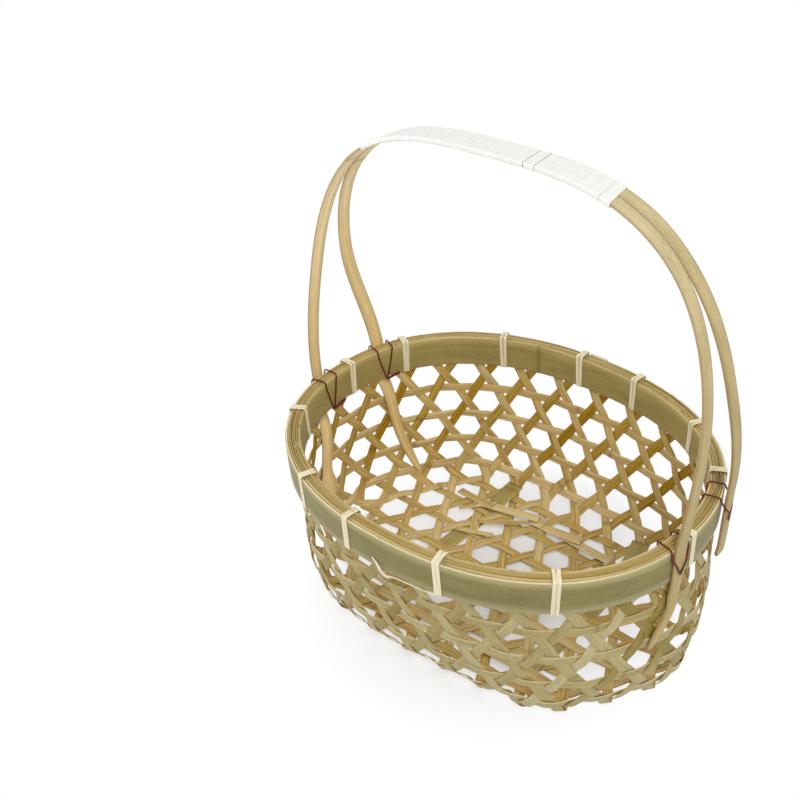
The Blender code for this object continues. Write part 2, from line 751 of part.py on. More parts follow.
def wire(name, leg):
    """A wire over the rim on both sides of a leg, across its outer face, with both tails inside."""
    r = WIRE_RADIUS + CLEAR
    face = leg["face"] + HANDLE_THICKNESS + r
    over = LATH_TOP - RIM_HEIGHT + r
    inside_face = -RIM_WALL - r
    half = HANDLE_WIDTH / 2
    end, middle, start = WIRE_TAIL_SHARES
    high, low = WIRE_DROP_SHARES
    run = [
        (WIRE_TAIL_REACH, inside_face - r, -WIRE_TAIL * end),
        (WIRE_TAIL_REACH, inside_face - r / 2, -WIRE_TAIL * middle),
        (WIRE_REACH * WIRE_LEAN_SHARE, inside_face, -WIRE_TAIL * start),
        (WIRE_REACH, inside_face + r / 4, over),
        (WIRE_REACH, 0.0, over),
        (WIRE_REACH, r * 6 / 5, over - 2 * r),
        (half + 2 * r, face - r, -WIRE_DROP * high),
        (half, face + r / 5, -WIRE_DROP * low),
        (0.0, face, -WIRE_DROP),
    ]
    run = run + [(-t, n, z) for t, n, z in run[-2::-1]]
    points = []
    for t, n, z in run:
        point, out, _ = rim_frame(leg["share"] + t / RIM_LENGTH)
        points.append(point + out * n + UP * (RIM_HEIGHT + z))
    tube(name, points, WIRE_RADIUS, WIRE)


for name, leg in LEGS.items():
    wire(f"wire_{name}", leg)


# Cane ties that hold the rim together: each is one flat loop, drawn in the plane across the rim.
def loop_outline(low, high, front, back, corner):
    """A box with its corners cut off, as (outward, height)."""
    return [
        (front, low + corner),
        (front, high - corner),
        (front - corner, high),
        (back + corner, high),
        (back, high - corner),
        (back, low + corner),
        (back + corner, low),
        (front - corner, low),
    ]


def tie(number, place):
    point, out, forward = rim_frame(place / ROUND + RING_PHASE_SHARE)
    outlines = [
        loop_outline(BAND_FOOT - far, LATH_TOP + far, far, -RIM_WALL - far, far)
        for far in (CLEAR + TIE_THICKNESS, CLEAR)
    ]
    made = flat_ring(f"rim_tie_{number:02d}", outlines, TIE_WIDTH, CANE)
    made.matrix_world = Matrix((out, UP, -forward)).transposed().to_4x4()
    made.location = point


for number, place in enumerate(TIE_PLACES, 1):
    tie(number, place)


# Reinforcing strips of the base.
def flat_strip(name, points, width, thickness, look):
    along = directions(points, False)
    sections = [
        slab(point, UP, unit(np.cross(UP, forward)), width, thickness)
        for point, forward in zip(points, along)
    ]
    loft(name, sections, look)


EDGE_TOP = WEAVE_FLOOR + EDGE_LIFT + STRIP_THICKNESS / 2
CROSS_TOP = EDGE_TOP + GAP / 2 + CROSS_BRACE_THICKNESS
LONG_FAR_MIDDLE = EDGE_TOP + CLEAR + LONG_BRACE_THICKNESS / 2
LONG_NEAR_MIDDLE = CROSS_TOP + GAP + LONG_BRACE_THICKNESS / 2


def at_height(point, height):
    return np.array([point[0], point[1], height])


def middle_of(a, b):
    return (spot[a] + spot[b]) / 2


def long_brace(name, row, height):
    quarters = row_quarters(row)
    points = [middle_of((row, a), (row, b)) for a, b in zip(quarters, quarters[1:])]
    points = [at_height(p, height) for p in points]
    points[0] = points[0] + (points[1] - points[0]) * LONG_BRACE_CUT_SHARE
    points[-1] = points[-1] + (points[-2] - points[-1]) * LONG_BRACE_CUT_SHARE
    flat_strip(name, points, LONG_BRACE_WIDTH, LONG_BRACE_THICKNESS, BAMBOO_INNER)


def cross_brace(name, quarter):
    """A strip that shows above the weave at both ends and passes under it in the middle."""
    far, near = (1, quarter), (WRAP_ROWS - 2, quarter)
    far_end = middle_of((0, quarter - 2), (0, quarter + 2))
    far_in = middle_of((2, quarter - 2), (2, quarter + 2))
    near_in = middle_of((near[0] - 1, quarter - 2), (near[0] - 1, quarter + 2))
    near_out = middle_of((near[0] + 1, quarter - 2), (near[0] + 1, quarter + 2))
    high, low = CROSS_TOP - CROSS_BRACE_THICKNESS / 2, CROSS_BRACE_THICKNESS / 2
    steps = [
        (spot[far], far_end, TIP_SHARE, high),
        (spot[far], far_end, DIP_SHARE, high),
        (spot[far], far_in, DIP_SHARE, low),
        (spot[near], near_in, DIP_SHARE, low),
        (spot[near], near_out, DIP_SHARE, high),
        (near_out, spot[(WRAP_ROWS, quarter)], DIP_SHARE, high),
    ]
    points = [at_height(a + (b - a) * share, height) for a, b, share, height in steps]
    flat_strip(name, points, CROSS_BRACE_WIDTH, CROSS_BRACE_THICKNESS, BAMBOO_SKIN)


long_brace("base_strip_far", 1, LONG_FAR_MIDDLE)
long_brace("base_strip_near", WRAP_ROWS - 1, LONG_NEAR_MIDDLE)
cross_brace("base_cross_left", CROSS_BRACE_QUARTERS[0])
cross_brace("base_cross_right", CROSS_BRACE_QUARTERS[1])
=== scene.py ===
"""Looks of the bamboo harvest basket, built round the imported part. Metres; X along the long side, Z up."""

import math

import bpy
import numpy as np
from mathutils import Matrix


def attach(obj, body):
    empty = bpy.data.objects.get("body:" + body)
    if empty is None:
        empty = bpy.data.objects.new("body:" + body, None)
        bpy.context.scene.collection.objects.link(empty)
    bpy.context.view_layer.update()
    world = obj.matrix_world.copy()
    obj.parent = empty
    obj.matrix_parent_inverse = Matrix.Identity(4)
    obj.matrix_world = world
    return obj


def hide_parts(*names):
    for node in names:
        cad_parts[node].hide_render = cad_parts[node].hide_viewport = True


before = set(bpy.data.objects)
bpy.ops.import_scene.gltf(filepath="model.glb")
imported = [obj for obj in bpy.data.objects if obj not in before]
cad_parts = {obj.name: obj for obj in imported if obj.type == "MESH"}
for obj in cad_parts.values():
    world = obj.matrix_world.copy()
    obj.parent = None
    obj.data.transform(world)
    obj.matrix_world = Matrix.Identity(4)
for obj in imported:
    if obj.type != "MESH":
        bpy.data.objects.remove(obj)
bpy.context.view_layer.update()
scene = bpy.context.scene

# Rim: the oval outer face of the rim, and the height of its top edge over the floor.
RIM_HALF_LENGTH = 0.195
RIM_HALF_WIDTH = 0.16
RIM_HEIGHT = 0.17
RIM_EXPONENT = 2.2
RIM_WALL = 0.013
BAND_HEIGHT = 0.031
BAND_WALL = 0.0022
BAND_DROP = 0.001
BAND_TOP = RIM_HEIGHT - BAND_DROP
BAND_FOOT = BAND_TOP - BAND_HEIGHT
BAND_MIDDLE = BAND_TOP - BAND_HEIGHT / 2
BAND_STEP = 0.003
BAND_SWELL = 0.12
OUTER_NODE_SHARES = (0.17, 0.42)
INNER_NODE_SHARES = (0.05, 0.2875, 0.56, 0.8)
OUTER_WAVE = 0.0003
INNER_WAVE = 0.0004
# Where the end of the outer band lies over its start, behind the basket, and how far it stands up.
BAND_LAP = np.linspace(0.2445, 0.2605, 8)
BAND_LAP_RISE = 0.0004

# Splints on edge between the two bands of the rim: (share of the space, height of the top over the bands).
SPLINTS = ((0.23, 0.0002), (0.17, 0.0012), (0.21, 0.0004), (0.16, 0.0015), (0.23, -0.0002))
SPLINT_HEIGHT = 0.009
SPLINT_GAP = 0.00042
SPLINT_WAVE = 0.0005
LATH_COUNT = 4
LATH_TOP = RIM_HEIGHT + 0.0008

# Weave: strips of the open hexagon weave.
STRIP_WIDTH = 0.0092
STRIP_THICKNESS = 0.0006
STRIP_STEP = 0.0032
HOOP_WIDTH = 0.0084
WIDTH_SPREAD_SHARE = 0.14
# How dark or light the strips of the two slanting families are, and how much that varies.
FAMILY_TONES = (-1.0, 0.3)
TONE_SPREAD = 0.45
# On the base both families are as light; the difference grows up to this height.
BASE_TONE = 0.4
FULL_TONE_HEIGHT = 0.06
CROSSING_LIFT = 0.0006
EDGE_LIFT = 0.0009
# How quickly a strip changes from over to under.
STEEPNESS = 2.0
EDGE_RISE = 0.0018
UNEVEN = 0.0008
PITCH = 0.1908 * RIM_HALF_LENGTH
ROW = 0.2006 * RIM_HALF_WIDTH
BOW_SHARE = 0.41
BOW_LENGTH_SHARE = 0.935
BOW_WIDTH_SHARE = 0.782
BOW_EXPONENT = 2.4
RING_OUT = 0.0034
RING_PHASE_SHARE = -0.0049
RING_OVAL_SHARES = (0.0, 0.426, 0.62, 0.72, 0.88, 1.0)
RING_HEIGHT_SHARES = (0.0, 0.163, 0.35, 0.545, 0.732, 0.918)
END_SHARE = 0.5
EVENING_ROUNDS = 260
TABLE_STEPS = 1440
# Step over which the slope of the wall is measured.
WALL_NUDGE_SHARE = 0.25

# Where the weave stands out: (how far, at which share of the way round, over what share).
BULGES = ((0.016, 0.05, 0.2), (0.01, 0.62, 0.24))
RING_BULGE_SHARES = (1.0, 1.0, 0.9, 0.7, 0.35, 0.0)

# Base outline, in pitches: the three pairs of sides of the woven hexagon.
LONG_SIDE = 6
RIGHT_SIDE = 4
LEFT_SIDE = 3
WRAP_ROWS = RIGHT_SIDE + LEFT_SIDE
ROUND = 2 * (LONG_SIDE + RIGHT_SIDE + LEFT_SIDE)
RINGS = 5

# Handle: two long strips that meet over the middle.
HANDLE_RISE = 0.2494
HANDLE_HALF_SPAN = 0.1985
HANDLE_EXPONENT = 3.1
HANDLE_WIDTH = 0.0135
HANDLE_THICKNESS = 0.0023
HANDLE_STEP = 0.004
NEAR_SPREAD = 0.03
FAR_SPREAD = 0.046
SPREAD_START_SHARE = 0.15
SPREAD_POWER = 1.4
LEG_END_WIDTH = 0.0068
LEG_END_THICKNESS = 0.0014
ARCH_DIP = 0.01
ARCH_FROM = 0.012
LEAN_HEIGHT = 0.12
ARCH_STEPS = 40
ARCH_NUDGE = 0.002
LEG_TIP = 0.002
# Where along X the nodes of the bamboo lie, and how far either strip's are off that.
HANDLE_NODES = (-0.148, 0.05)
HANDLE_NODE_STAGGER = 0.004
# Painted shade and light on the handle: darker at the rim, and lighter towards the top, where the light falls
# from above.
HANDLE_PAINTED_SHADE_AND_LIGHT = (-0.4, 0.9)
LEG_TIP_SHARE = 0.6

# Legs of the handle: (distance off the rim, facing along X at the rim, facing along X below it), and the way
# down the weave as (ring, side of the weave, share of the taper, place). The left ones go in through the top
# row, and the right ones stay outside.
LEG_TABLE = {
    "near_left": (
        (0.0, False, True),
        ((4.0, 0.0, 0.0, 14.05), (3.4, -1.5, 0.0, 14.22), (2.5, -1.5, 0.1, 14.42), (1.4, -1.5, 0.3, 14.6)),
    ),
    "far_left": (
        (0.0, False, False),
        ((4.0, 0.0, 0.1, 12.05), (3.5, -1.3, 0.2, 12.0), (3.0, -1.0, 0.3, 11.95))
        + ((2.0, -1.0, 0.4, 11.8), (1.2, -1.0, 0.65, 11.64), (0.45, -1.3, 1.5, 11.5)),
    ),
    "near_right": (
        (0.0, False, False),
        ((3.8, 1.3, 0.05, 25.5), (3.5, 1.15, 0.1, 25.46), (3.0, 1.0, 0.1, 25.28))
        + ((2.6, 1.0, 0.4, 25.14), (2.35, 1.0, 0.9, 25.06)),
    ),
    "far_right": ((0.004, True, True), ((3.6, 3.1, 0.05, 1.3), (3.4, 2.6, 0.15, 1.29))),
}

# Tape wound round both handle strips.
TAPE_TURNS = 27
TAPE_THICKNESS = 0.0003
TAPE_END_SHARES = (-0.65, 0.54)
TAPE_SEAM = 0.0001
TAPE_CORNER = 0.0012
LOOP_CORNER_STEPS = 4
LOOP_FLAT_STEPS = 6
# After how many turns the tape leaves a gap, and how wide.
TAPE_OPENINGS = (17.2, 18.2, 25.3)
TAPE_OPENING = 0.0005

# Reinforcing strips over and under the base.
LONG_BRACE_WIDTH = 0.0095
LONG_BRACE_THICKNESS = 0.0012
CROSS_BRACE_WIDTH = 0.0185
CROSS_BRACE_THICKNESS = 0.001
CROSS_BRACE_QUARTERS = {"base_cross_left": -7, "base_cross_right": 9}
DIP_SHARE = 0.36
TIP_RISE = 0.0028
LONG_BRACE_CUT_SHARE = 0.15
LONG_BRACE_STEP = 0.006
CROSS_BRACE_STEP = 0.004
# Pieces that make up the long strip of the far side, lifted onto each other: (start, end, width, level).
FAR_PIECES = (
    ((-0.112, 0.074), (-0.066, 0.0715), 0.009, 0),
    ((-0.024, 0.079), (0.036, 0.085), 0.0085, 0),
    ((0.011, 0.081), (0.077, 0.076), 0.01, 1),
    ((-0.083, 0.07), (-0.015, 0.0845), 0.0105, 1),
    ((-0.007, 0.0785), (0.039, 0.0815), 0.0105, 2),
    ((-0.094, 0.051), (-0.067, 0.08), 0.005, 0),
    ((-0.065, 0.047), (-0.022, 0.073), 0.006, 0),
    ((-0.076, 0.025), (-0.038, 0.037), 0.0055, 0),
)
PIECE_TILT = 0.0026
PIECE_THICKNESS_SHARE = 0.75
PIECE_STEPS = 4

# Cane ties and wires on the rim.
TIE_STRAND = 0.0032
TIE_THICKNESS = 0.0005
TIE_CORNER = 0.0016
TIE_LEAN = 0.0008
# How far the strands of a tie stand apart, in widths, and how much more at the foot of the inside.
TIE_APART_SHARE = 0.51
TIE_SPREAD_SHARE = 0.16
TIE_PLACES = (1.87, 3.5, 5.5, 7.0, 9.0, 11.49, 13.06, 15.1, 17.5, 19.0, 21.05, 23.1, 25.87)
# The end of the cane, knotted at the foot of the outer band: (share of the way round, outward, height over
# the foot, width).
CANE_END = (
    (0.7515, 0.001, 0.0085, 0.0012),
    (0.7555, 0.0016, 0.005, 0.0022),
    (0.76, 0.0024, 0.0, 0.0034),
    (0.764, 0.0022, -0.003, 0.003),
    (0.769, 0.0014, -0.0014, 0.0016),
    (0.78, 0.0008, -0.001, 0.0013),
    (0.792, 0.0006, -0.0012, 0.0013),
    (0.803, 0.0006, -0.0014, 0.0012),
)
# The cut end of a splint that stands away into the basket: (share of the way round, outward of the inner
# face, height over the rim, width).
LATH_END = (
    (0.734, -0.0006, 0.0, 0.0012),
    (0.748, -0.0014, 0.0014, 0.0026),
    (0.762, -0.0036, 0.0032, 0.007),
    (0.773, -0.0038, 0.002, 0.0074),
    (0.781, -0.0016, 0.0004, 0.0018),
)
LATH_END_THICKNESS = 0.0006
LOOSE_END_STEP = 0.0015
WIRE_RADIUS = 0.0007
WIRE_REACH = 0.0095
WIRE_DROP = 0.025
WIRE_TAIL = 0.0325
WIRE_END = 0.015
WIRE_TWIST = 0.0042
WIRE_STEP = 0.0008
WIRE_CORNERS = 3
# Where a wire bends, in shares of its reach, of its tail inside the rim and of its drop across the leg.
WIRE_REACH_SHARES = (0.35, 0.8, 0.98)
WIRE_TAIL_SHARES = (0.72, 0.25)
WIRE_DROP_SHARES = (0.35, 0.45, 0.82)
# How the twisted end rises and leans inward along it, and the steps in one twist.
WIRE_END_RISE = 0.3
WIRE_END_LEAN = 0.15
TWIST_STEPS = 12
# Gap between neighbouring pieces.
CLEAR = 0.0003
# How far the lowest strips stay off the floor.
FLOOR_CLEAR = 0.0001
WEAVE_CLEAR = 0.0002
# How far a strip's outer face bulges, in half thicknesses, and where a wire passes the handle.
CROWN = 1.18
WIRE_OVER_SHARE = 1.1

UP = np.array([0.0, 0.0, 1.0])
TURN = 2 * math.pi
WEAVE_FLOOR = CROSS_BRACE_THICKNESS + WEAVE_CLEAR + CROSSING_LIFT + STRIP_THICKNESS / 2

chance = np.random.default_rng(11)


def unit(vector):
    return np.divide(vector, np.linalg.norm(vector))


# Materials. Noise over a strip: scale (along, across, layer), detail, roughness.
FIBRES = ((55.0, 2600.0, 3.0), 3.0, 0.6)
STREAKS = ((9.0, 650.0, 5.0), 4.0, 0.6)
PATCHES = ((22.0, 110.0, 7.0), 4.0, 0.6)
SPECKS = ((420.0, 1300.0, 9.0), 2.0, 0.5)
FINE_FIBRES = ((260.0, 900.0, 11.0), 4.0, 0.7)
CANE_FIBRES = ((40.0, 2400.0, 3.0), 3.0, 0.6)
CANE_STREAKS = ((12.0, 700.0, 5.0), 3.0, 0.6)
WIRE_RUBS = ((900.0, 900.0, 900.0), 3.0, 0.55)
# Shades of a colour, in shares of it: lines of the inner face, marks of the skin, lines of the nodes.
BROWN, PALE = (0.58, 0.48, 0.28), (1.25, 1.29, 1.55)
DULL, BRIGHT = (0.74, 0.72, 0.62), (1.22, 1.2, 1.22)
NODE_LINE = (0.42, 0.33, 0.24)
# Where the line of a node starts to fade and where it ends.
NODE_LINE_WIDTHS = (0.0011, 0.0021)
# What one step of tone does to hue, saturation and value: (step, middle).
TONE_STEPS = ((0.005, 0.5), (-0.2, 1.0), (0.22, 1.0))
LINE_SPREAD = 0.16
BLACK, WHITE = (0.0, 0.0, 0.0), (1.0, 1.0, 1.0)


def material(name):
    """A material with its node tree and its shader."""
    made = bpy.data.materials.new(name)
    made.use_nodes = True
    return made, made.node_tree, made.node_tree.nodes["Principled BSDF"]


def add(tree, kind, *inputs, out=0, **settings):
    """A node with its settings and inputs; an input is a socket, a value, or None to leave it."""
    node = tree.nodes.new(kind)
    for key, value in settings.items():
        setattr(node, key, value)
    for socket, value in zip(node.inputs, inputs):
        if isinstance(value, bpy.types.NodeSocket):
            tree.links.new(value, socket)
        elif value is not None:
            socket.default_value = value
    return node.outputs[out]


def calc(tree, operation, *inputs, clamp=False):
    return add(tree, "ShaderNodeMath", *inputs, operation=operation, use_clamp=clamp)


def times(tree, socket, weight, more):
    """A socket times its weight, plus more."""
    return calc(tree, "MULTIPLY_ADD", socket, weight, more)


def read(tree, name, out="Fac"):
    return add(tree, "ShaderNodeAttribute", attribute_name=name, out=out)


def noise(tree, place, scale, detail, rough):
    stretched = add(tree, "ShaderNodeVectorMath", place, scale, operation="MULTIPLY")
    return add(tree, "ShaderNodeTexNoise", stretched, None, 1.0, detail, rough)


def weigh(tree, *parts):
    """The sum of sockets, each times its weight."""
    total = 0.0
    for socket, weight in parts:
        total = times(tree, socket, weight, total)
    return total


def ramp(tree, factor, *stops):
    node = tree.nodes.new("ShaderNodeValToRGB")
    tree.links.new(factor, node.inputs[0])
    while len(node.color_ramp.elements) < len(stops):
        node.color_ramp.elements.new(1.0)
    for element, (place, colour) in zip(node.color_ramp.elements, stops):
        element.position = place
        element.color = (*colour, 1.0)
    return node.outputs[0]


def mix(tree, factor, *pair):
    """The first of two colours turned into the second by a factor."""
    colours = (value if isinstance(value, bpy.types.NodeSocket) else (*value, 1.0) for value in pair)
    return add(tree, "ShaderNodeMix", factor, *[None] * 5, *colours, out=2, data_type="RGBA")


def shade(colour, shares):
    return tuple(np.multiply(colour, shares))


def join_shader(tree, look, rough, height, strength, distance):
    """Joins colour, roughness and bump height to the shader."""
    shader = tree.nodes["Principled BSDF"]
    tree.links.new(look, shader.inputs["Base Color"])
    tree.links.new(rough, shader.inputs["Roughness"])
    bump = add(tree, "ShaderNodeBump", strength, distance)
    tree.links.new(height, bump.node.inputs["Height"])
    tree.links.new(bump, shader.inputs["Normal"])


def bamboo(name, inner, skin, cut, roughness=(0.62, 0.46), contrast=1.0, gloss=0.25):
    """Split bamboo: fibres on the inner face, a smooth skin outside, cut edges in a colour of their own (pale
    on most, darker on the weave, where it is partly painted shade), and nodes across it.
    """
    made, tree, shader = material(name)
    shader.inputs["Specular IOR Level"].default_value = gloss
    grain = read(tree, "grain", "Vector")
    tone = read(tree, "tone")
    kinds = (FIBRES, STREAKS, PATCHES, SPECKS, FINE_FIBRES)
    fibre, streak, patch, speck, fine = (noise(tree, grain, *kind) for kind in kinds)

    lines = weigh(tree, (streak, 0.55), (fibre, 0.45))
    spread = LINE_SPREAD / contrast
    brown, pale = shade(inner, BROWN), shade(inner, PALE)
    inner_look = ramp(tree, lines, (0.5 - spread, brown), (0.5, inner), (0.5 + spread, pale))
    smooth_lines = weigh(tree, (streak, 0.25), (patch, 0.35), (fine, 0.4))
    dull, bright = shade(skin, DULL), shade(skin, BRIGHT)
    skin_look = ramp(tree, smooth_lines, (0.4, dull), (0.5, skin), (0.62, bright))
    skin_share = ramp(tree, read(tree, "skin"), (0.42, BLACK), (0.62, WHITE))
    look = mix(tree, skin_share, inner_look, skin_look)

    # Edges take the edge colour: cut and worn edges, and on the weave also painted shade along the strip
    # edges.
    edge_wear_and_shade = times(tree, streak, 0.7, 0.5)
    look = mix(tree, calc(tree, "MULTIPLY", read(tree, "edge"), edge_wear_and_shade, clamp=True), look, cut)
    ring = calc(tree, "ABSOLUTE", read(tree, "ring"))
    fade, end = NODE_LINE_WIDTHS
    line = ramp(tree, ring, (0.0, WHITE), (fade, shade(WHITE, 0.75)), (end, BLACK))
    look = mix(tree, calc(tree, "MULTIPLY", line, 0.6), look, shade(inner, NODE_LINE))
    spots = ramp(tree, speck, (0.62, BLACK), (0.7, WHITE))
    look = mix(tree, calc(tree, "MULTIPLY", spots, 0.4), look, shade(brown, 0.7))
    changes = (times(tree, tone, step, middle) for step, middle in TONE_STEPS)
    look = add(tree, "ShaderNodeHueSaturation", *changes, 1.0, look)

    inside, outside = (shade(WHITE, level) for level in roughness)
    rough = calc(tree, "SUBTRACT", ramp(tree, skin_share, (0.0, inside), (1.0, outside)), 0.11)
    relief = calc(tree, "MULTIPLY", lines, times(tree, skin_share, -0.65, 1.0))
    relief = times(tree, line, 0.5, relief)
    join_shader(tree, look, times(tree, patch, 0.22, rough), relief, 0.45, 0.0004)
    return made


def cane(name, colour, shadow, lines=0.5, edges=0.35):
    """Peeled flat cane or tape: pale, with fine lines along it and slightly darker edges."""
    made, tree, _ = material(name)
    grain = read(tree, "grain", "Vector")
    streak = noise(tree, grain, *CANE_STREAKS)
    both = weigh(tree, (streak, 0.5), (noise(tree, grain, *CANE_FIBRES), 0.5))
    look = ramp(tree, both, (0.5 - lines / 4, shadow), (0.5, colour), (0.62, shade(colour, 1.03)))
    look = mix(tree, calc(tree, "MULTIPLY", read(tree, "edge"), edges), look, shadow)
    value = times(tree, read(tree, "tone"), 0.05, 1.0)
    look = add(tree, "ShaderNodeHueSaturation", 0.5, 1.0, value, 1.0, look)
    join_shader(tree, look, times(tree, streak, 0.25, 0.38), both, 0.3, 0.0003)
    return made


def coated_wire(name):
    """Dark red coated wire, rubbed here and there."""
    made, tree, shader = material(name)
    rub = noise(tree, add(tree, "ShaderNodeTexCoord", out="Object"), *WIRE_RUBS)
    stops = (0.35, (0.09, 0.006, 0.002)), (0.55, (0.14, 0.012, 0.004)), (0.72, (0.2, 0.03, 0.01))
    tree.links.new(ramp(tree, rub, *stops), shader.inputs["Base Color"])
    tree.links.new(times(tree, rub, 0.3, 0.35), shader.inputs["Roughness"])
    shader.inputs["Specular IOR Level"].default_value = 0.25
    return made


# The weave's edge colour is darker than its inner face: partly brownish cut edges, partly painted shade on
# the strip edges.
WEAVE = bamboo("weave_bamboo", (0.56, 0.39, 0.12), (0.4, 0.335, 0.145), (0.46, 0.32, 0.09), contrast=1.6)
HOOP = bamboo("hoop_bamboo", (0.6, 0.43, 0.165), (0.41, 0.345, 0.155), (0.76, 0.63, 0.35), contrast=1.5)
BRACE = bamboo("brace_bamboo", (0.6, 0.44, 0.17), (0.38, 0.305, 0.1), (0.6, 0.46, 0.19), contrast=1.3)
OUTER_BAND = bamboo("outer_band_bamboo", (0.52, 0.38, 0.16), (0.23, 0.2, 0.07), (0.84, 0.73, 0.45))
INNER_BAND = bamboo("inner_band_bamboo", (0.46, 0.33, 0.12), (0.335, 0.265, 0.085), (0.66, 0.52, 0.22))
SPLINT = bamboo("splint_bamboo", (0.54, 0.39, 0.13), (0.5, 0.38, 0.125), (0.36, 0.25, 0.07), contrast=2.2)
HANDLE = bamboo(
    "handle_bamboo", (0.9, 0.69, 0.345), (0.48, 0.37, 0.155), (0.3, 0.2, 0.085), (0.52, 0.42), contrast=0.8
)
CANE = cane("peeled_cane", (0.84, 0.77, 0.55), (0.6, 0.49, 0.27))
TAPE = cane("handle_tape", (0.85, 0.84, 0.8), (0.74, 0.71, 0.62), 1.2, 0.1)
WIRE = coated_wire("coated_wire")


# Smooth lines and the ribbons that follow them.
def smooth(rows, step, closed=False):
    """Rows of numbers that start with a place, joined by one smooth line and read off about every step."""
    rows = np.asarray(rows, float)
    if closed:
        rows = np.concatenate([rows[-1:], rows, rows[:2]])
    spans = np.linalg.norm(np.diff(rows[:, :3], axis=0), axis=1)[:, None]
    slopes = np.diff(rows, axis=0) / spans
    middle = (slopes[:-1] * spans[1:] + slopes[1:] * spans[:-1]) / (spans[:-1] + spans[1:])
    tangents = np.concatenate([slopes[:1], middle, slopes[-1:]])
    first, last = (1, len(rows) - 2) if closed else (0, len(rows) - 1)
    found = []
    for i in range(first, last):
        count = max(1, round(float(spans[i][0]) / step))
        t = (np.arange(count) / count)[:, None]
        start = (2 * t**3 - 3 * t**2 + 1) * rows[i] + (t**3 - 2 * t**2 + t) * spans[i] * tangents[i]
        end = (3 * t**2 - 2 * t**3) * rows[i + 1] + (t**3 - t**2) * spans[i] * tangents[i + 1]
        found.append(start + end)
    return np.concatenate(found + [rows[last : last + 1]])


# Nodes of a strip: place of the first, step between them, its spread, how far they run past the end, and how
# far each swells the strip.
FIRST_NODE = (-0.3, 0.0)
NODE_STEP = 0.31
NODE_STEP_SPREAD = (0.85, 1.15)
NODES_PAST = 0.6
NODE_REACH = 0.0022
# Corners of a ribbon's section: side, share of the thickness cut off the width, place through it, skin, edge.
RIBBON_SHARES = (
    (-1, 0.0, 0.35, 0.6, 1.0),
    (-1, 0.3, 1.0, 1.0, 0.35),
    (-0.5, 0.0, 1.12, 1.0, 0.0),
    (0, 0.0, CROWN, 1.0, 0.0),
    (0.5, 0.0, 1.12, 1.0, 0.0),
    (1, 0.3, 1.0, 1.0, 0.35),
    (1, 0.0, 0.35, 0.6, 1.0),
    (1, 0.0, -0.35, 0.4, 1.0),
    (1, 0.3, -1.0, 0.0, 0.35),
    (0, 0.0, -1.0, 0.0, 0.0),
    (-1, 0.3, -1.0, 0.0, 0.35),
    (-1, 0.0, -0.35, 0.4, 1.0),
)


def directions(points, closed=False):
    if closed:
        ring = points[:-1]
        along = np.roll(ring, -1, axis=0) - np.roll(ring, 1, axis=0)
        along = np.concatenate([along, along[:1]])
    else:
        along = np.gradient(points, axis=0)
    return along / np.linalg.norm(along, axis=1)[:, None]


def distances(points):
    """How far along its line each point lies."""
    return np.concatenate([[0.0], np.cumsum(np.linalg.norm(np.diff(points, axis=0), axis=1))])


def put(name, data, look=None):
    """A new object in the scene."""
    made = bpy.data.objects.new(name, data)
    if look:
        data.materials.append(look)
    scene.collection.objects.link(made)
    return made


def ride(made, node, slot):
    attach(made, "root")
    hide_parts(node)


def ribbon(name, rows, look, closed=False, marks=None, layer=None, tone=None, swell=0.5, flat=False):
    """A strip along rows of (place, outward direction, width, thickness).

    marks are its bamboo nodes, by distance along it, and swell is how much thicker it is there. layer shifts
    its pattern and tone its lightness; both are drawn by chance where none is given.
    """
    places, outward, widths, depths = rows[:, :3], rows[:, 3:6], rows[:, 6], rows[:, 7]
    along = directions(places, closed)
    outward = outward - along * np.sum(outward * along, axis=1)[:, None]
    outward = outward / np.linalg.norm(outward, axis=1)[:, None]
    across = np.cross(outward, along)
    runs = distances(places)
    if marks is None:
        start, step = chance.uniform(*FIRST_NODE), chance.uniform(*NODE_STEP_SPREAD)
        marks = start + np.arange(0.0, runs[-1] + NODES_PAST, NODE_STEP) * step
    gaps = runs[:, None] - np.asarray(marks)[None, :]
    ring = gaps[np.arange(len(runs)), np.abs(gaps).argmin(axis=1)]
    depths = depths * (1 + swell * np.exp(-((ring / NODE_REACH) ** 2)))
    layer = chance.uniform(0, 90) if layer is None else layer
    tone = chance.uniform(-1, 1) if tone is None else tone

    side, cut, through, skin, edge = np.array(RIBBON_SHARES).T
    aside = widths[:, None] / 2 * side - depths[:, None] * cut * np.sign(side)
    raised = depths[:, None] / 2 * through
    points = places[:, None] + across[:, None] * aside[..., None] + outward[:, None] * raised[..., None]
    points[..., 2] = np.maximum(points[..., 2], FLOOR_CLEAR)
    corners, last = len(side), (len(runs) - 1) * len(side)
    sides = [(c, (c + 1) % corners) for c in range(corners)]
    faces = []
    for i in range(0, last, corners):
        j = i + corners
        faces += [(i + d, i + c, j + c, j + d) for c, d in sides]
    if not closed:
        faces += [tuple(range(corners)), tuple(range(last + corners - 1, last - 1, -1))]
    mesh = bpy.data.meshes.new(name)
    mesh.from_pydata(points.reshape(-1, 3).tolist(), [], faces)
    grain = np.stack(np.broadcast_arrays(runs[:, None], aside, layer), axis=2)
    values = mesh.attributes.new("grain", "FLOAT_VECTOR", "POINT").data
    values.foreach_set("vector", grain.astype(np.float32).ravel())
    looks = {"skin": skin, "edge": edge, "ring": ring[:, None], "tone": np.reshape(tone, (-1, 1))}
    for key, shares in looks.items():
        values = np.broadcast_to(shares, aside.shape).astype(np.float32).ravel()
        mesh.attributes.new(key, "FLOAT", "POINT").data.foreach_set("value", values)
    mesh.polygons.foreach_set("use_smooth", [not flat] * len(mesh.polygons))
    mesh.update()
    return put(name, mesh, look)


def row(place, outward, width, depth):
    return [*place, *outward, width, depth]


# Marks for a strip without nodes: one that lies far before its start.
NO_NODES = [-1.0]


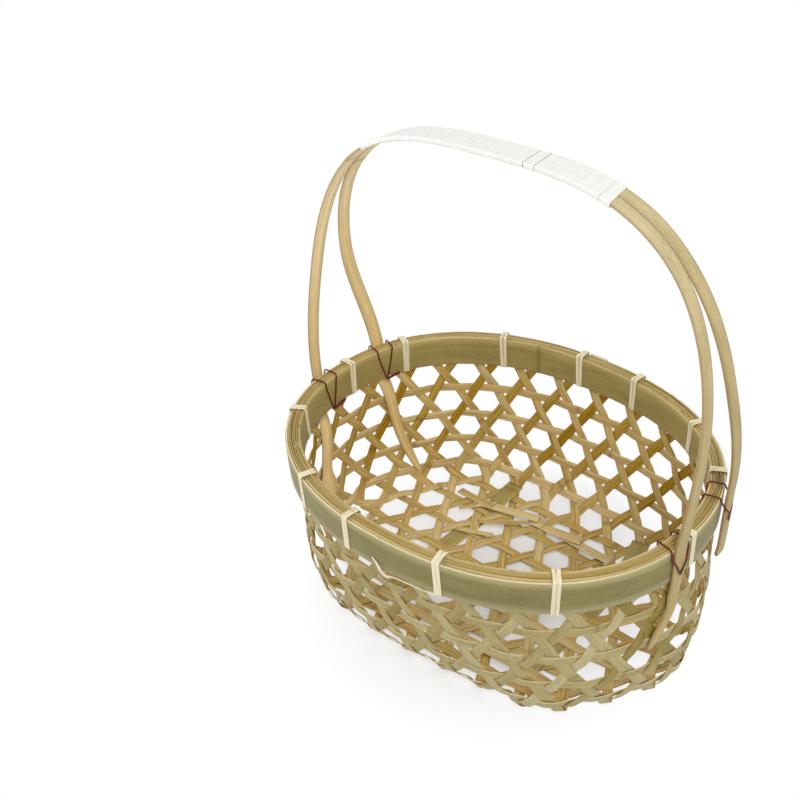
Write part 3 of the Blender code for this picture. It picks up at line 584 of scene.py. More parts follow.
# Ovals, measured by distance round them.
def oval_line(half_length, half_width, exponent, turn=TURN):
    """Distance along an oval, x and y, up to a turn."""
    angle = np.linspace(0.0, turn, TABLE_STEPS + 1)
    c, s = np.cos(angle), np.sin(angle)
    x = half_length * np.sign(c) * np.abs(c) ** (2 / exponent)
    y = half_width * np.sign(s) * np.abs(s) ** (2 / exponent)
    return np.concatenate([[0.0], np.cumsum(np.hypot(np.diff(x), np.diff(y)))]), x, y


def oval_table(*shape):
    """Share of the way round an oval, x and y."""
    run, x, y = oval_line(*shape)
    return run / run[-1], x, y


def line_point(line, run):
    return np.array([np.interp(run, line[0], values) for values in line[1:]])


def oval_point(table, share):
    return line_point(table, share % 1.0)


RIM_TABLE = oval_table(RIM_HALF_LENGTH, RIM_HALF_WIDTH, RIM_EXPONENT)
MID_TABLE = oval_table(RIM_HALF_LENGTH - RIM_WALL / 2, RIM_HALF_WIDTH - RIM_WALL / 2, RIM_EXPONENT)
BOW_TABLE = oval_table(BOW_LENGTH_SHARE * RIM_HALF_LENGTH, BOW_WIDTH_SHARE * RIM_HALF_WIDTH, BOW_EXPONENT)
SIDE_ENDS = np.cumsum([0, *(RIGHT_SIDE, LONG_SIDE, LEFT_SIDE) * 2])
RIM_LENGTH = oval_line(RIM_HALF_LENGTH, RIM_HALF_WIDTH, RIM_EXPONENT)[0][-1]
BAND_PLACES = np.linspace(0.0, 1.0, round(RIM_LENGTH / BAND_STEP), endpoint=False)


def grid_point(r, q):
    """Where a hexagon of the flat base lies: r counts rows from the far side, q counts quarter pitches."""
    return np.array([q * PITCH / 4, (WRAP_ROWS / 2 - r) * ROW])


def row_quarters(r):
    """The quarter pitches at which a row of the base has its hexagons, from left to right."""
    skew = RIGHT_SIDE - LEFT_SIDE
    left = -2 * LONG_SIDE - skew - 2 * min(r, 2 * LEFT_SIDE - r)
    right = 2 * LONG_SIDE - skew + 2 * min(r, 2 * RIGHT_SIDE - r)
    return list(range(left, right + 1, 4))


# The hexagons on the edge of the base, one way round from the right tip.
OUTLINE = [(r, row_quarters(r)[-1]) for r in range(RIGHT_SIDE, 0, -1)]
OUTLINE += [(0, q) for q in row_quarters(0)[::-1]]
OUTLINE += [(r, row_quarters(r)[0]) for r in range(1, WRAP_ROWS)]
OUTLINE += [(WRAP_ROWS, q) for q in row_quarters(WRAP_ROWS)]
OUTLINE += [(r, row_quarters(r)[-1]) for r in range(WRAP_ROWS - 1, RIGHT_SIDE, -1)]
CORNERS = np.array([grid_point(*OUTLINE[int(end) % ROUND]) for end in SIDE_ENDS])


def at_ring(ring, values):
    return np.interp(ring, range(RINGS + 1), values)


def bulge(share, ring):
    """How far the weave stands out at a share of the way round."""
    total = 0.0
    for size, middle, reach in BULGES:
        apart = abs((share - middle + 0.5) % 1.0 - 0.5) / reach
        total += size * math.cos(min(apart, 1.0) * math.pi / 2) ** 2
    return total * at_ring(ring, RING_BULGE_SHARES)


def base_outline(place, out=0.0):
    """A point of the base edge, bowed towards an oval; place counts hexagons from the right tip."""
    place = place % ROUND
    flat = np.array([np.interp(place, SIDE_ENDS, CORNERS[:, i]) for i in (0, 1)])
    bowed = oval_point(BOW_TABLE, place / ROUND + RING_PHASE_SHARE)
    point = (1 - BOW_SHARE) * flat + BOW_SHARE * bowed
    return point * (1 + out / np.hypot(*point))


def wall_point(ring, place):
    """A point of the middle of the weave at a ring, which may be a fraction."""
    share = at_ring(ring, RING_OVAL_SHARES)
    low = base_outline(place, RING_OUT * min(ring, 1.0))
    high = oval_point(MID_TABLE, place / ROUND + RING_PHASE_SHARE)
    flat = (1 - share) * low + share * high
    flat = flat * (1 + bulge(place / ROUND, ring) / np.hypot(*flat))
    rise = at_ring(ring, RING_HEIGHT_SHARES) * (RIM_HEIGHT - WEAVE_FLOOR)
    return np.array([flat[0], flat[1], WEAVE_FLOOR + rise])


# The net of hexagon centres: base rows first, then the rings up the wall.
spot = {
    (r, q): np.array([*grid_point(r, q), WEAVE_FLOOR]) for r in range(WRAP_ROWS + 1) for q in row_quarters(r)
}


def around(key):
    r, q = key
    return [(r, q + 4), (r, q - 4), (r + 1, q + 2), (r + 1, q - 2), (r - 1, q + 2), (r - 1, q - 2)]


for index, key in enumerate(OUTLINE):
    spot[key] = np.array([*base_outline(index, bulge(index / ROUND, 0)), WEAVE_FLOOR])
inside = [key for key in spot if key not in OUTLINE]
for _ in range(EVENING_ROUNDS):
    for key in inside:
        spot[key] = sum(spot[k] for k in around(key)) / 6
for key in inside:
    spot[key] = spot[key] + [*chance.normal(0, UNEVEN, 2), 0.0]
for key in OUTLINE:
    spot[key] = spot[key] + UP * EDGE_RISE


def ring_key(ring, index):
    index = index % ROUND
    return OUTLINE[index] if ring == 0 else ("wall", ring, index)


for ring in range(1, RINGS + 1):
    for index in range(ROUND):
        spot[ring_key(ring, index)] = wall_point(ring, index + ring / 2) + chance.normal(0, UNEVEN, 3)

corners_of = []
for r, q in [key for key in spot if key[0] != "wall"]:
    for step in (1, -1):
        face = [(r, q), (r, q + 4), (r + step, q + 2)]
        if all(k in spot for k in face):
            corners_of.append(face)
for ring in range(RINGS):
    for index in range(ROUND):
        a, b = ring_key(ring, index), ring_key(ring, index + 1)
        c, d = ring_key(ring + 1, index), ring_key(ring + 1, index - 1)
        corners_of.append([a, b, c])
        corners_of.append([a, c, d])

# Each net triangle is turned to face away from the middle of the rim.
HEART = UP * RIM_HEIGHT
face_normal = {}
edge_faces = {}
for face in corners_of:
    a, b, c = (spot[k] for k in face)
    normal = np.cross(b - a, c - a)
    if np.dot(normal, (a + b + c) / 3 - HEART) < 0:
        face[1], face[2] = face[2], face[1]
        normal = -normal
    face_normal[tuple(face)] = unit(normal)
    for i in range(3):
        edge_faces.setdefault(frozenset((face[i], face[(i + 1) % 3])), []).append(tuple(face))


def middle_of(a, b):
    return (spot[a] + spot[b]) / 2


def third(face, edge):
    return next(k for k in face if k not in edge)


def across_edge(a, b, behind):
    """The net point on the far side of an edge, or None at the rim."""
    edge = frozenset((a, b))
    for face in edge_faces[edge]:
        if third(face, edge) != behind:
            return third(face, edge)
    return None


def crossing(behind, a, b):
    """(point, outward normal, side) where a strip coming from behind crosses the edge a b."""
    edge = frozenset((a, b))
    faces = edge_faces[edge]
    own = next(f for f in faces if third(f, edge) == behind)
    goes_round = any(own[i] == a and own[(i + 1) % 3] == b for i in range(3))
    return middle_of(a, b), unit(sum(face_normal[f] for f in faces)), 1 if goes_round else -1


def trace(a, b, first):
    """The net points that a strip zigzags through, until the rim or its own start."""
    path = [a, b, first]
    while True:
        beyond = across_edge(path[-2], path[-1], path[-3])
        if beyond is None:
            return path, False
        path.append(beyond)
        if path[-3:] == path[:3]:
            return path[:-3], True


def rim_end(outer, shared, inner):
    """Where a strip stops between the two bands of the rim."""
    last = middle_of(shared, inner)
    return last + (middle_of(outer, shared) - last) * END_SHARE, unit([last[0], last[1], 0.0])


def strip_rows(path, closed, width):
    """Rows of a woven strip: it follows the net, and lies over and under by turns at its crossings."""
    count = len(path)
    rows = []
    for i in range(count) if closed else range(1, count - 2):
        behind, a, b = path[(i - 1) % count], path[i % count], path[(i + 1) % count]
        middle, normal, side = crossing(behind, a, b)
        lift = EDGE_LIFT if a in OUTLINE or b in OUTLINE else CROSSING_LIFT
        rows.append(row(middle, normal, width, STRIP_THICKNESS) + [side, lift])
    if not closed:
        rows.insert(0, row(*rim_end(*path[:3]), width, STRIP_THICKNESS) + [0, 0])
        rows.append(row(*rim_end(*path[:-4:-1]), width, STRIP_THICKNESS) + [0, 0])
    rows = smooth(rows, STRIP_STEP, closed)
    lifted = rows[:, 9] * np.tanh(STEEPNESS * rows[:, 8]) / math.tanh(STEEPNESS)
    rows[:, :3] += rows[:, 3:6] * lifted[:, None]
    rows[:, 2] = np.maximum(rows[:, 2], STRIP_THICKNESS + FLOOR_CLEAR + CLEAR * (1 + rows[:, 8]))
    return rows[:, :8]


def uneven(width):
    return width * (1 + WIDTH_SPREAD_SHARE * chance.uniform(-0.5, 0.5))


def weave():
    seen = set()
    number = 0
    for index in range(ROUND):
        a, b = ring_key(RINGS, index), ring_key(RINGS, index + 1)
        inner = across_edge(a, b, None)
        for (first, second), family in zip(((a, b), (b, a)), FAMILY_TONES):
            if (first, second) in seen:
                continue
            path, closed = trace(first, second, inner)
            seen.update([(first, second), (path[-1], path[-2])])
            number += 1
            tone = chance.uniform(-TONE_SPREAD, TONE_SPREAD)
            rows = strip_rows(path, closed, uneven(STRIP_WIDTH))
            tones = tone + np.interp(rows[:, 2], (0.0, FULL_TONE_HEIGHT), (BASE_TONE, family))
            made = ribbon(f"strip_{number:02d}", rows, WEAVE, tone=tones)
            ride(made, f"weaver_{number:02d}", "weave_strip")
    for ring in range(RINGS - 1):
        path, closed = trace(ring_key(ring, 0), ring_key(ring + 1, 0), ring_key(ring, 1))
        tone = chance.uniform(-TONE_SPREAD, TONE_SPREAD)
        rows = strip_rows(path, closed, uneven(HOOP_WIDTH))
        ride(ribbon(f"round_{ring + 1}", rows, HOOP, closed, tone=tone), f"hoop_{ring + 1}", "weave_strip")


# Rim: two bands with splints on edge between them.
def rim_frame(share):
    """Outer face point and outward direction at a share of the way round the rim."""
    x, y = oval_point(RIM_TABLE, share)
    power = RIM_EXPONENT - 1
    slope_x = math.copysign(abs(x / RIM_HALF_LENGTH) ** power / RIM_HALF_LENGTH, x)
    slope_y = math.copysign(abs(y / RIM_HALF_WIDTH) ** power / RIM_HALF_WIDTH, y)
    return np.array([x, y, 0.0]), unit([slope_x, slope_y, 0.0])


def rim_place(share, forward, outward, rise):
    """A place by distance forward along the rim, outward from its outer face, and up from its top."""
    point, out = rim_frame(share + forward / RIM_LENGTH)
    return point + out * outward + UP * (RIM_HEIGHT + rise)


def rim_rows(depth, height, wide, thick, face, wave):
    """Rows round the rim at a depth behind its outer face; wave adds to the height."""
    rows = []
    for share in BAND_PLACES:
        point, out = rim_frame(share)
        rows.append(row(point - out * depth + UP * (height + wave(share)), out * face, wide, thick))
    return np.array(rows + rows[:1])


def waves(size):
    """A height that wanders gently round the rim and closes on itself."""
    turns = ((2, 0.5), (3, 0.4), (7, 0.45), (13, 0.3), (29, 0.15))
    phases = chance.uniform(0, TURN, len(turns))
    return lambda share: size * sum(s * math.sin(TURN * n * share + p) for (n, s), p in zip(turns, phases))


def band(side, face, depth, nodes, wave, look, layer):
    rows = rim_rows(depth, BAND_MIDDLE, BAND_HEIGHT, BAND_WALL, face, waves(wave))
    marks = np.multiply(nodes, RIM_LENGTH)
    made = ribbon(f"band_{side}", rows, look, True, marks, layer, 0.0, BAND_SWELL)
    ride(made, f"rim_band_{side}", "rim_band")


def band_lap():
    """The end of the outer band where it lies over its start."""
    rows = []
    for share in BAND_LAP:
        centre = rim_place(share, 0.0, BAND_WALL / 2 + CLEAR, BAND_MIDDLE + BAND_LAP_RISE - RIM_HEIGHT)
        rows.append(row(centre, rim_frame(share)[1], BAND_HEIGHT, BAND_WALL))
    rows = np.array(rows)
    made = ribbon("band_outer_lap", rows, OUTER_BAND, marks=NO_NODES, layer=3.5, tone=0.3)
    ride(made, "rim_band_outer", "rim_band")


def rim():
    band("outer", 1, BAND_WALL / 2, OUTER_NODE_SHARES, OUTER_WAVE, OUTER_BAND, 3.0)
    band_lap()
    band("inner", -1, RIM_WALL - BAND_WALL / 2, INNER_NODE_SHARES, INNER_WAVE, INNER_BAND, 5.0)
    space = RIM_WALL - 2 * BAND_WALL - (len(SPLINTS) + 1) * SPLINT_GAP
    depth = BAND_WALL + SPLINT_GAP
    for number, (share, rise) in enumerate(SPLINTS, 1):
        wall = share * space
        height = RIM_HEIGHT - SPLINT_HEIGHT / 2 + rise
        rows = rim_rows(depth + wall / 2, height, SPLINT_HEIGHT, wall, 1, waves(SPLINT_WAVE))
        made = ribbon(f"splint_{number}", rows, SPLINT, True, swell=0.0)
        ride(made, f"rim_lath_{min(number, LATH_COUNT)}", "rim_lath")
        depth += wall + SPLINT_GAP


# Handle: the line of the arch in the middle plane, as distance along it, x and z.
ARCH = oval_line(-HANDLE_HALF_SPAN, HANDLE_RISE + ARCH_DIP, HANDLE_EXPONENT, math.pi)
ARCH = (*ARCH[:2], RIM_HEIGHT - ARCH_DIP + ARCH[2])
SPREAD_FROM = HANDLE_WIDTH / 2 + CLEAR / 2


def arch_out(run):
    """Outward direction of the arch."""
    x, z = line_point(ARCH, run + ARCH_NUDGE) - line_point(ARCH, run - ARCH_NUDGE)
    out = np.cross(unit([x, 0.0, z]), np.array([0.0, 1.0, 0.0]))
    return unit(-out) if out[2] < 0 or out[0] * line_point(ARCH, run)[0] < 0 else unit(out)


def spread_at(z, widest):
    """How far from the middle plane the centre of one handle strip lies at a height."""
    down = min(1.0, max(0.0, (RIM_HEIGHT + HANDLE_RISE - z) / HANDLE_RISE))
    share = max(0.0, down - SPREAD_START_SHARE) / (1 - SPREAD_START_SHARE)
    return SPREAD_FROM + (widest - SPREAD_FROM) * share**SPREAD_POWER


def leg_share(leg):
    """The share of the way round the rim where a leg stands."""
    shares = np.linspace(0.0, 0.25, TABLE_STEPS + 1)
    turn = np.interp(leg["spread"], [oval_point(RIM_TABLE, share)[1] for share in shares], shares)
    turn = turn if leg["far"] == leg["right"] else -turn
    return turn if leg["right"] else 0.5 + turn


LEGS = {}
for name, ((stand_off, square_at_rim, square_below), way) in LEG_TABLE.items():
    leg = {"far": "far" in name, "right": "right" in name, "way": way, "face": stand_off + CLEAR}
    leg["spread"] = FAR_SPREAD if leg["far"] else NEAR_SPREAD
    leg["share"] = leg_share(leg)
    foot, out = rim_frame(leg["share"])
    square = np.array([1.0 if leg["right"] else -1.0, 0.0, 0.0])
    leg["out"] = square if square_at_rim else out
    leg["below"] = square if square_below else out
    leg["stand"] = foot + out * (leg["face"] + HANDLE_THICKNESS / 2)
    LEGS[name] = leg


def woven_point(ring, place):
    """Where the woven wall itself lies: flat between each three neighbouring hexagon centres."""
    low = min(math.floor(ring), RINGS - 1)
    rise = ring - low
    index = math.floor(place - ring / 2)
    along = place - ring / 2 - index
    a, b = spot[ring_key(low, index)], spot[ring_key(low, index + 1)]
    c, d = spot[ring_key(low + 1, index)], spot[ring_key(low + 1, index + 1)]
    if along + rise <= 1:
        return a * (1 - along - rise) + b * along + c * rise
    return b * (1 - rise) + c * (1 - along) + d * (along + rise - 1)


def wall_out(ring, place):
    """Outward direction of the wall of the weave."""
    up_wall = woven_point(ring + WALL_NUDGE_SHARE, place) - woven_point(ring - WALL_NUDGE_SHARE, place)
    along = wall_point(ring, place + WALL_NUDGE_SHARE) - wall_point(ring, place - WALL_NUDGE_SHARE)
    return unit(np.cross(along, up_wall))


WEAVE_HALF = CROSSING_LIFT + STRIP_THICKNESS / 2


def leg_rows(leg):
    """Rows from the top of the rim down to the end of the leg."""
    rows = []
    for height in (RIM_HEIGHT + BAND_DROP, BAND_MIDDLE, BAND_FOOT - HANDLE_THICKNESS):
        rows.append(row(leg["stand"] + UP * height, leg["out"], HANDLE_WIDTH, HANDLE_THICKNESS))
    for ring, side, share, place in leg["way"]:
        width = HANDLE_WIDTH + (LEG_END_WIDTH - HANDLE_WIDTH) * share
        thick = HANDLE_THICKNESS + (LEG_END_THICKNESS - HANDLE_THICKNESS) * share
        out = wall_out(ring, place)
        offset = side * (WEAVE_HALF + 2 * CLEAR + thick / 2)
        rows.append(row(woven_point(ring, place) + out * offset, leg["below"], width, thick))
    tip = np.array(rows[-1])
    tip[:3] += unit((tip - rows[-2])[:3]) * LEG_TIP
    tip[6:] *= LEG_TIP_SHARE
    return rows + [tip]


def handle_strip(side, left, right):
    """Rows of one strip of the handle with the two legs it ends in."""
    low = ARCH[0][np.argmax(ARCH[2] > RIM_HEIGHT + ARCH_FROM)]
    rows = leg_rows(LEGS[left])[::-1]
    for step in range(ARCH_STEPS + 1):
        run = low + (ARCH[0][-1] - 2 * low) * step / ARCH_STEPS
        x, z = line_point(ARCH, run)
        leg = LEGS[left] if x < 0 else LEGS[right]
        toward = max(0.0, 1 - (z - RIM_HEIGHT) / LEAN_HEIGHT)
        centre = np.array([x, side * spread_at(z, leg["spread"]), z])
        centre[:2] += (leg["stand"][:2] - centre[:2]) * toward**2
        out = unit(arch_out(run) * (1 - toward) + leg["out"] * toward)
        rows.append(row(centre, out, HANDLE_WIDTH, HANDLE_THICKNESS))
    return smooth(rows + leg_rows(LEGS[right]), HANDLE_STEP)


def distance_to(rows, x):
    """How far along its rows a strip first passes x."""
    return distances(rows[:, :3])[np.argmax(rows[:, 0] > x)]


def handle():
    for side, name, layer, tone in ((-1, "near", 21.0, 0.15), (1, "far", 33.0, -0.1)):
        rows = handle_strip(side, f"{name}_left", f"{name}_right")
        marks = [distance_to(rows, x - side * HANDLE_NODE_STAGGER) for x in HANDLE_NODES]
        # Painted light and shade: each handle strip grows lighter with height, from the rim to the top.
        tones = tone + np.interp(rows[:, 2], (RIM_HEIGHT, RIM_HEIGHT + HANDLE_RISE), HANDLE_PAINTED_SHADE_AND_LIGHT)
        made = ribbon(f"handle_{name}", rows, HANDLE, marks=marks, layer=layer, tone=tones, swell=0.25)
        ride(made, f"handle_strip_{name}", "handle_strip")


# Tape wound in one unbroken run round both strips of the handle.
def loop(half_width, half_height, corner):
    """A rounded box as rows of (share of the way round, sideways, outward, leaning sideways, outward)."""
    stops = []
    for quarter, (side, up) in enumerate(((1, 1), (-1, 1), (-1, -1), (1, -1))):
        for step in range(LOOP_CORNER_STEPS + 1):
            angle = TURN / 4 * (quarter + step / LOOP_CORNER_STEPS)
            c, s = math.cos(angle), math.sin(angle)
            sideways, outward = side * (half_width - corner), up * (half_height - corner)
            stops.append((sideways + c * corner, outward + s * corner, c, s))
        if quarter % 2 == 0:
            last = stops[-1]
            for step in range(1, LOOP_FLAT_STEPS):
                stops.append((last[0] * (1 - 2 * step / LOOP_FLAT_STEPS), *last[1:]))
    stops = np.array(stops)
    runs = distances(np.concatenate([stops, stops[:1]])[:, :2])
    return np.column_stack([runs[:-1] / runs[-1], stops])


def tape():
    run, across, _ = ARCH
    first, last = (run[np.argmax(across > end * HANDLE_HALF_SPAN)] for end in TAPE_END_SHARES)
    pitch = (last - first - len(TAPE_OPENINGS) * TAPE_OPENING) / TAPE_TURNS
    width = pitch - TAPE_SEAM
    high = HANDLE_THICKNESS / 2 * CROWN + CLEAR + TAPE_THICKNESS / 2
    rows = []
    for turn in range(TAPE_TURNS - 1):
        x, z = line_point(ARCH, first + pitch * turn)
        wide = spread_at(z, FAR_SPREAD) + HANDLE_WIDTH / 2 + CLEAR + TAPE_THICKNESS / 2
        for share, sideways, outward, lean, lean_out in loop(wide, high, TAPE_CORNER):
            turns = turn + share
            opened = sum(min(1.0, max(0.0, turns - start)) for start in TAPE_OPENINGS)
            run = first + width / 2 + pitch * turns + TAPE_OPENING * opened
            x, z = line_point(ARCH, run)
            out = arch_out(run)
            facing = out * lean_out + (0.0, lean, 0.0)
            rows.append(row(out * outward + (x, sideways, z), facing, width, TAPE_THICKNESS))
    rows = np.array(rows)
    made = ribbon("tape_winding", rows, TAPE, marks=NO_NODES, layer=55.0, tone=0.0, flat=True)
    ride(made, "handle_tape", "handle_tape")


# Wires that lash each leg to the rim.
def tube(name, points):
    line = bpy.data.curves.new(name, "CURVE")
    line.dimensions = "3D"
    line.bevel_depth = WIRE_RADIUS
    line.bevel_resolution = WIRE_CORNERS
    line.use_fill_caps = True
    spline = line.splines.new("POLY")
    spline.points.add(len(points) - 1)
    for point, place in zip(spline.points, points):
        point.co = (*map(float, place), 1.0)
    return put(name, line, WIRE)


def lashing(name, leg):
    """A wire over the rim on both sides of a leg and across it, with its ends twisted together inside."""
    r = WIRE_RADIUS + CLEAR / 2
    face = leg["face"] + HANDLE_THICKNESS * WIRE_OVER_SHARE + r
    over = LATH_TOP - RIM_HEIGHT + r
    inside = -RIM_WALL - r
    half = HANDLE_WIDTH / 2
    close, wide, bend = (WIRE_REACH * share for share in WIRE_REACH_SHARES)
    low, high = (-WIRE_TAIL * share for share in WIRE_TAIL_SHARES)
    start, edge, end = (-WIRE_DROP * share for share in WIRE_DROP_SHARES)
    run = [
        (WIRE_RADIUS, inside - r / 2, -WIRE_TAIL),
        (close, inside - r / 2, low),
        (wide, inside, high),
        (bend, inside + r, over - r / 2),
        (WIRE_REACH, -RIM_WALL / 2, over + r / 2),
        (WIRE_REACH, 0.0, over - r / 2),
        (WIRE_REACH, r * 1.2, over - 3 * r),
        (half + 2 * r, face - 2 * r, start),
        (half, face - r / 2, edge),
        (half / 3, face + r / 4, end),
        (0.0, face + r / 4, -WIRE_DROP),
    ]
    run = run + [(-t, n, z) for t, n, z in run[-2::-1]]
    places = [rim_place(leg["share"], *step) for step in run]
    ride(tube(f"lashing_{name}", smooth(places, WIRE_STEP)), f"wire_{name}", "lashing_wire")
    for strand in (0, 1):
        tail = []
        for t in np.arange(0.0, WIRE_END, WIRE_TWIST / TWIST_STEPS):
            angle = TURN * (t / WIRE_TWIST + strand / 2)
            rise = -WIRE_TAIL + WIRE_END_RISE * t + WIRE_RADIUS * math.sin(angle)
            back = inside - r * 1.4 - WIRE_END_LEAN * t + WIRE_RADIUS * math.cos(angle)
            tail.append(rim_place(leg["share"], -t, back, rise))
        made = tube(f"lashing_{name}_end_{strand + 1}", np.array(tail))
        ride(made, f"wire_{name}", "lashing_wire")


# Cane ties: each is two turns of a flat strand round the rim.
def tie(number, place):
    share = place / ROUND + RING_PHASE_SHARE
    out = rim_frame(share)[1]
    far = CLEAR + TIE_THICKNESS / 2
    top, foot = LATH_TOP - RIM_HEIGHT + far + CLEAR, BAND_FOOT - RIM_HEIGHT - far
    middle, tall, deep = (top + foot) / 2, (top - foot) / 2, RIM_WALL / 2 + far
    lean = chance.uniform(-TIE_LEAN, TIE_LEAN)
    for strand, side in enumerate((-1, 1), 1):
        rows = []
        for _, sideways, upward, lean_out, lean_up in loop(deep, tall, TIE_CORNER):
            inside = max(0.0, -sideways / deep) * (1 + upward / tall) / 2
            apart = TIE_STRAND * (TIE_APART_SHARE + TIE_SPREAD_SHARE * inside)
            forward = side * apart + lean * upward / tall
            centre = rim_place(share, forward, sideways - RIM_WALL / 2, middle + upward)
            rows.append(row(centre, out * lean_out + UP * lean_up, TIE_STRAND, TIE_THICKNESS))
        rows = np.array(rows + rows[:1])
        made = ribbon(f"cane_{number:02d}_{strand}", rows, CANE, True, NO_NODES)
        ride(made, f"rim_tie_{number:02d}", "rim_tie")


def loose_end(name, table, outward, rise, lean, thickness, look, piece, tone=None):
    """A loose end along a table of the rim, from a line at a distance outward and up; lean is (out, up)."""
    rows = []
    for share, apart, height, width in table:
        centre = rim_place(share, 0.0, outward + apart, rise + height)
        rows.append(row(centre, rim_frame(share)[1] * lean[0] + UP * lean[1], width, thickness))
    made = ribbon(name, smooth(rows, LOOSE_END_STEP), look, marks=NO_NODES, tone=tone)
    ride(made, *piece)


# Reinforcing strips of the base.
EDGE_TOP = WEAVE_FLOOR + EDGE_LIFT + STRIP_THICKNESS / 2
CROSS_TOP = EDGE_TOP + CLEAR + CROSS_BRACE_THICKNESS
LONG_FAR_MIDDLE = EDGE_TOP + CLEAR + LONG_BRACE_THICKNESS / 2
LONG_NEAR_MIDDLE = CROSS_TOP + CLEAR + LONG_BRACE_THICKNESS / 2


def long_brace(name, r, height):
    quarters = row_quarters(r)
    points = [middle_of((r, a), (r, b)) for a, b in zip(quarters, quarters[1:])]
    points[0] = points[0] + (points[1] - points[0]) * LONG_BRACE_CUT_SHARE
    points[-1] = points[-1] + (points[-2] - points[-1]) * LONG_BRACE_CUT_SHARE
    rows = [row((*p[:2], height), -UP, LONG_BRACE_WIDTH, LONG_BRACE_THICKNESS) for p in points]
    made = ribbon(name.replace("base_strip", "long_brace"), smooth(rows, LONG_BRACE_STEP), BRACE)
    ride(made, name, "base_strip")


def far_pieces(name, height):
    """The long strip of the far side, pieced together from shorter ones that lie over each other."""
    thick = LONG_BRACE_THICKNESS * PIECE_THICKNESS_SHARE
    for number, (start, end, width, level) in enumerate(FAR_PIECES):
        rows = []
        for share in np.linspace(0.0, 1.0, PIECE_STEPS):
            point = np.add(start, np.subtract(end, start) * share)
            rows.append(row((*point, height + level * thick + PIECE_TILT * share**2), -UP, width, thick))
        made = ribbon(f"far_piece_{number + 1}", smooth(rows, LONG_BRACE_STEP), BRACE)
        ride(made, name, "base_strip")


def cross_brace(name, q):
    """A strip that shows above the weave at both ends and passes under it in the middle."""
    between = (0, 2, WRAP_ROWS - 3, WRAP_ROWS - 1)
    far_end, far_in, near_in, near_out = (middle_of((r, q - 2), (r, q + 2)) for r in between)
    far, near, end = (spot[(r, q)] for r in (1, WRAP_ROWS - 2, WRAP_ROWS))
    high, low = CROSS_TOP - CROSS_BRACE_THICKNESS / 2, CROSS_BRACE_THICKNESS / 2
    steps = [
        (far, far_end, 1.0, high + TIP_RISE),
        (far, far_end, 0.0, high),
        (far, far_in, DIP_SHARE, low),
        (far, far_in, 1.0, low),
        (near, near_in, 1.0, low),
        (near, near_in, DIP_SHARE, low),
        (near, near_out, DIP_SHARE, high),
        (near_out, end, DIP_SHARE, high),
    ]
    places = [(*(a + (b - a) * share)[:2], z) for a, b, share, z in steps]
    rows = smooth([row(p, UP, CROSS_BRACE_WIDTH, CROSS_BRACE_THICKNESS) for p in places], CROSS_BRACE_STEP)
    rows[:, 2] = np.maximum(rows[:, 2], low + CLEAR)
    ride(ribbon(name.replace("base_cross", "cross_brace"), rows, BRACE), name, "base_strip")


weave()
rim()
handle()
tape()
for name, leg in LEGS.items():
    lashing(name, leg)
for number, place in enumerate(TIE_PLACES, 1):
    tie(number, place)
loose_end("cane_end", CANE_END, 0.0, -BAND_HEIGHT, (1, 0), TIE_THICKNESS, CANE, ("rim_tie_11", "rim_tie"))
loose_end(
    "lath_end", LATH_END, -RIM_WALL, 0.0, (-1, 1), LATH_END_THICKNESS, HANDLE, ("rim_lath_4", "rim_lath"), 0.5
)
far_pieces("base_strip_far", LONG_FAR_MIDDLE)
long_brace("base_strip_near", WRAP_ROWS - 1, LONG_NEAR_MIDDLE)
for name, quarter in CROSS_BRACE_QUARTERS.items():
    cross_brace(name, quarter)


# Floor, light and camera.
FLOOR_HALF = 4.0
FLOOR_COLOUR = (0.86, 0.86, 0.86, 1.0)
# Distances between which the floor turns white by itself.
GLOW_REACH = (0.05, 0.19)


def floor():
    mesh = bpy.data.meshes.new("floor")
    h = FLOOR_HALF
    mesh.from_pydata([(-h, -h, 0), (h, -h, 0), (h, h, 0), (-h, h, 0)], [], [(0, 1, 2, 3)])
    look, tree, shader = material("floor_white")
    made = put("floor", mesh, look)
    tree.nodes.remove(shader)
    place = add(tree, "ShaderNodeTexCoord", out="Object")
    away = add(tree, "ShaderNodeVectorMath", place, operation="LENGTH", out="Value")
    grown = add(tree, "ShaderNodeMapRange", away, *GLOW_REACH)
    matt = add(tree, "ShaderNodeBsdfDiffuse", FLOOR_COLOUR)
    glow = add(tree, "ShaderNodeEmission", (*WHITE, 1.0), 1.0)
    lit = add(tree, "ShaderNodeMixShader", calc(tree, "MULTIPLY", seen_directly(tree), grown), matt, glow)
    tree.links.new(lit, tree.nodes["Material Output"].inputs["Surface"])


def seen_directly(tree):
    """1 where a camera, mirror or glass ray arrives."""
    path = tree.nodes.new("ShaderNodeLightPath")
    seen = calc(tree, "MAXIMUM", path.outputs["Is Camera Ray"], path.outputs["Is Glossy Ray"])
    return calc(tree, "MAXIMUM", seen, path.outputs["Is Transmission Ray"])


WORLD_LEVEL = 0.46
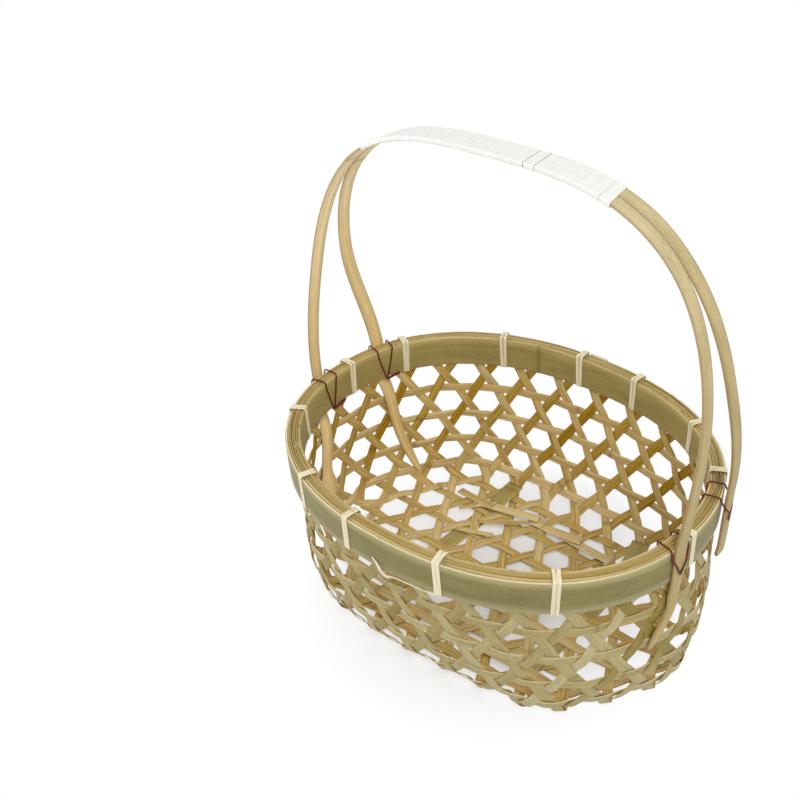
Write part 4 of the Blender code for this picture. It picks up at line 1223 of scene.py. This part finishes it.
# Lamps: (name, place, size, power), all aimed at the middle of the rim.
LAMPS = (
    ("key", (1.2, -0.93, 1.59), 0.75, 20.8),
    ("fill", (-1.05, -0.7, 0.48), 1.0, 6.5),
    ("top", (0.2, 0.47, 2.19), 1.6, 7.6),
)


def light():
    world = bpy.data.worlds.new("studio")
    scene.world = world
    world.use_nodes = True
    tree = world.node_tree
    strength = times(tree, seen_directly(tree), 1.0 - WORLD_LEVEL, WORLD_LEVEL)
    background = tree.nodes["Background"]
    background.inputs["Color"].default_value = (*WHITE, 1.0)
    tree.links.new(strength, background.inputs["Strength"])
    for name, place, size, power in LAMPS:
        lamp = bpy.data.lights.new(name, "AREA")
        lamp.shape = "DISK"
        lamp.size = size
        lamp.energy = power
        made = put(name, lamp)
        made.location = place
        made.rotation_euler = turn_toward(HEART - place)


def turn_toward(aim):
    """Turn that points a lamp's beam along aim."""
    flat = math.hypot(aim[0], aim[1])
    return (math.atan2(flat, -aim[2]), 0.0, math.atan2(aim[1], aim[0]) - math.pi / 2)


VIEW_TURN, VIEW_RISE, VIEW_ROLL = (math.radians(angle) for angle in (38.16, 35.99, -0.25))
VIEW_DISTANCE = 0.8191
VIEW_HEIGHT = 0.1702
VIEW_LENS = 42.8
VIEW_SHIFT = (-0.1243, 0.0429)


def camera():
    flat = math.cos(VIEW_RISE)
    back = np.array([math.sin(VIEW_TURN) * flat, -math.cos(VIEW_TURN) * flat, math.sin(VIEW_RISE)])
    right = np.array([math.cos(VIEW_TURN), math.sin(VIEW_TURN), 0.0])
    up = np.cross(back, right)
    c, s = math.cos(VIEW_ROLL), math.sin(VIEW_ROLL)
    place = UP * VIEW_HEIGHT + back * VIEW_DISTANCE
    lens = bpy.data.cameras.new("camera")
    lens.sensor_width = 36.0
    lens.lens = VIEW_LENS
    lens.shift_x, lens.shift_y = VIEW_SHIFT
    made = put("camera", lens)
    columns = np.column_stack([c * right + s * up, c * up - s * right, back, place])
    made.matrix_world = Matrix([*columns.tolist(), [0.0, 0.0, 0.0, 1.0]])
    scene.camera = made


floor()
light()
camera()
scene.view_settings.view_transform = "Standard"
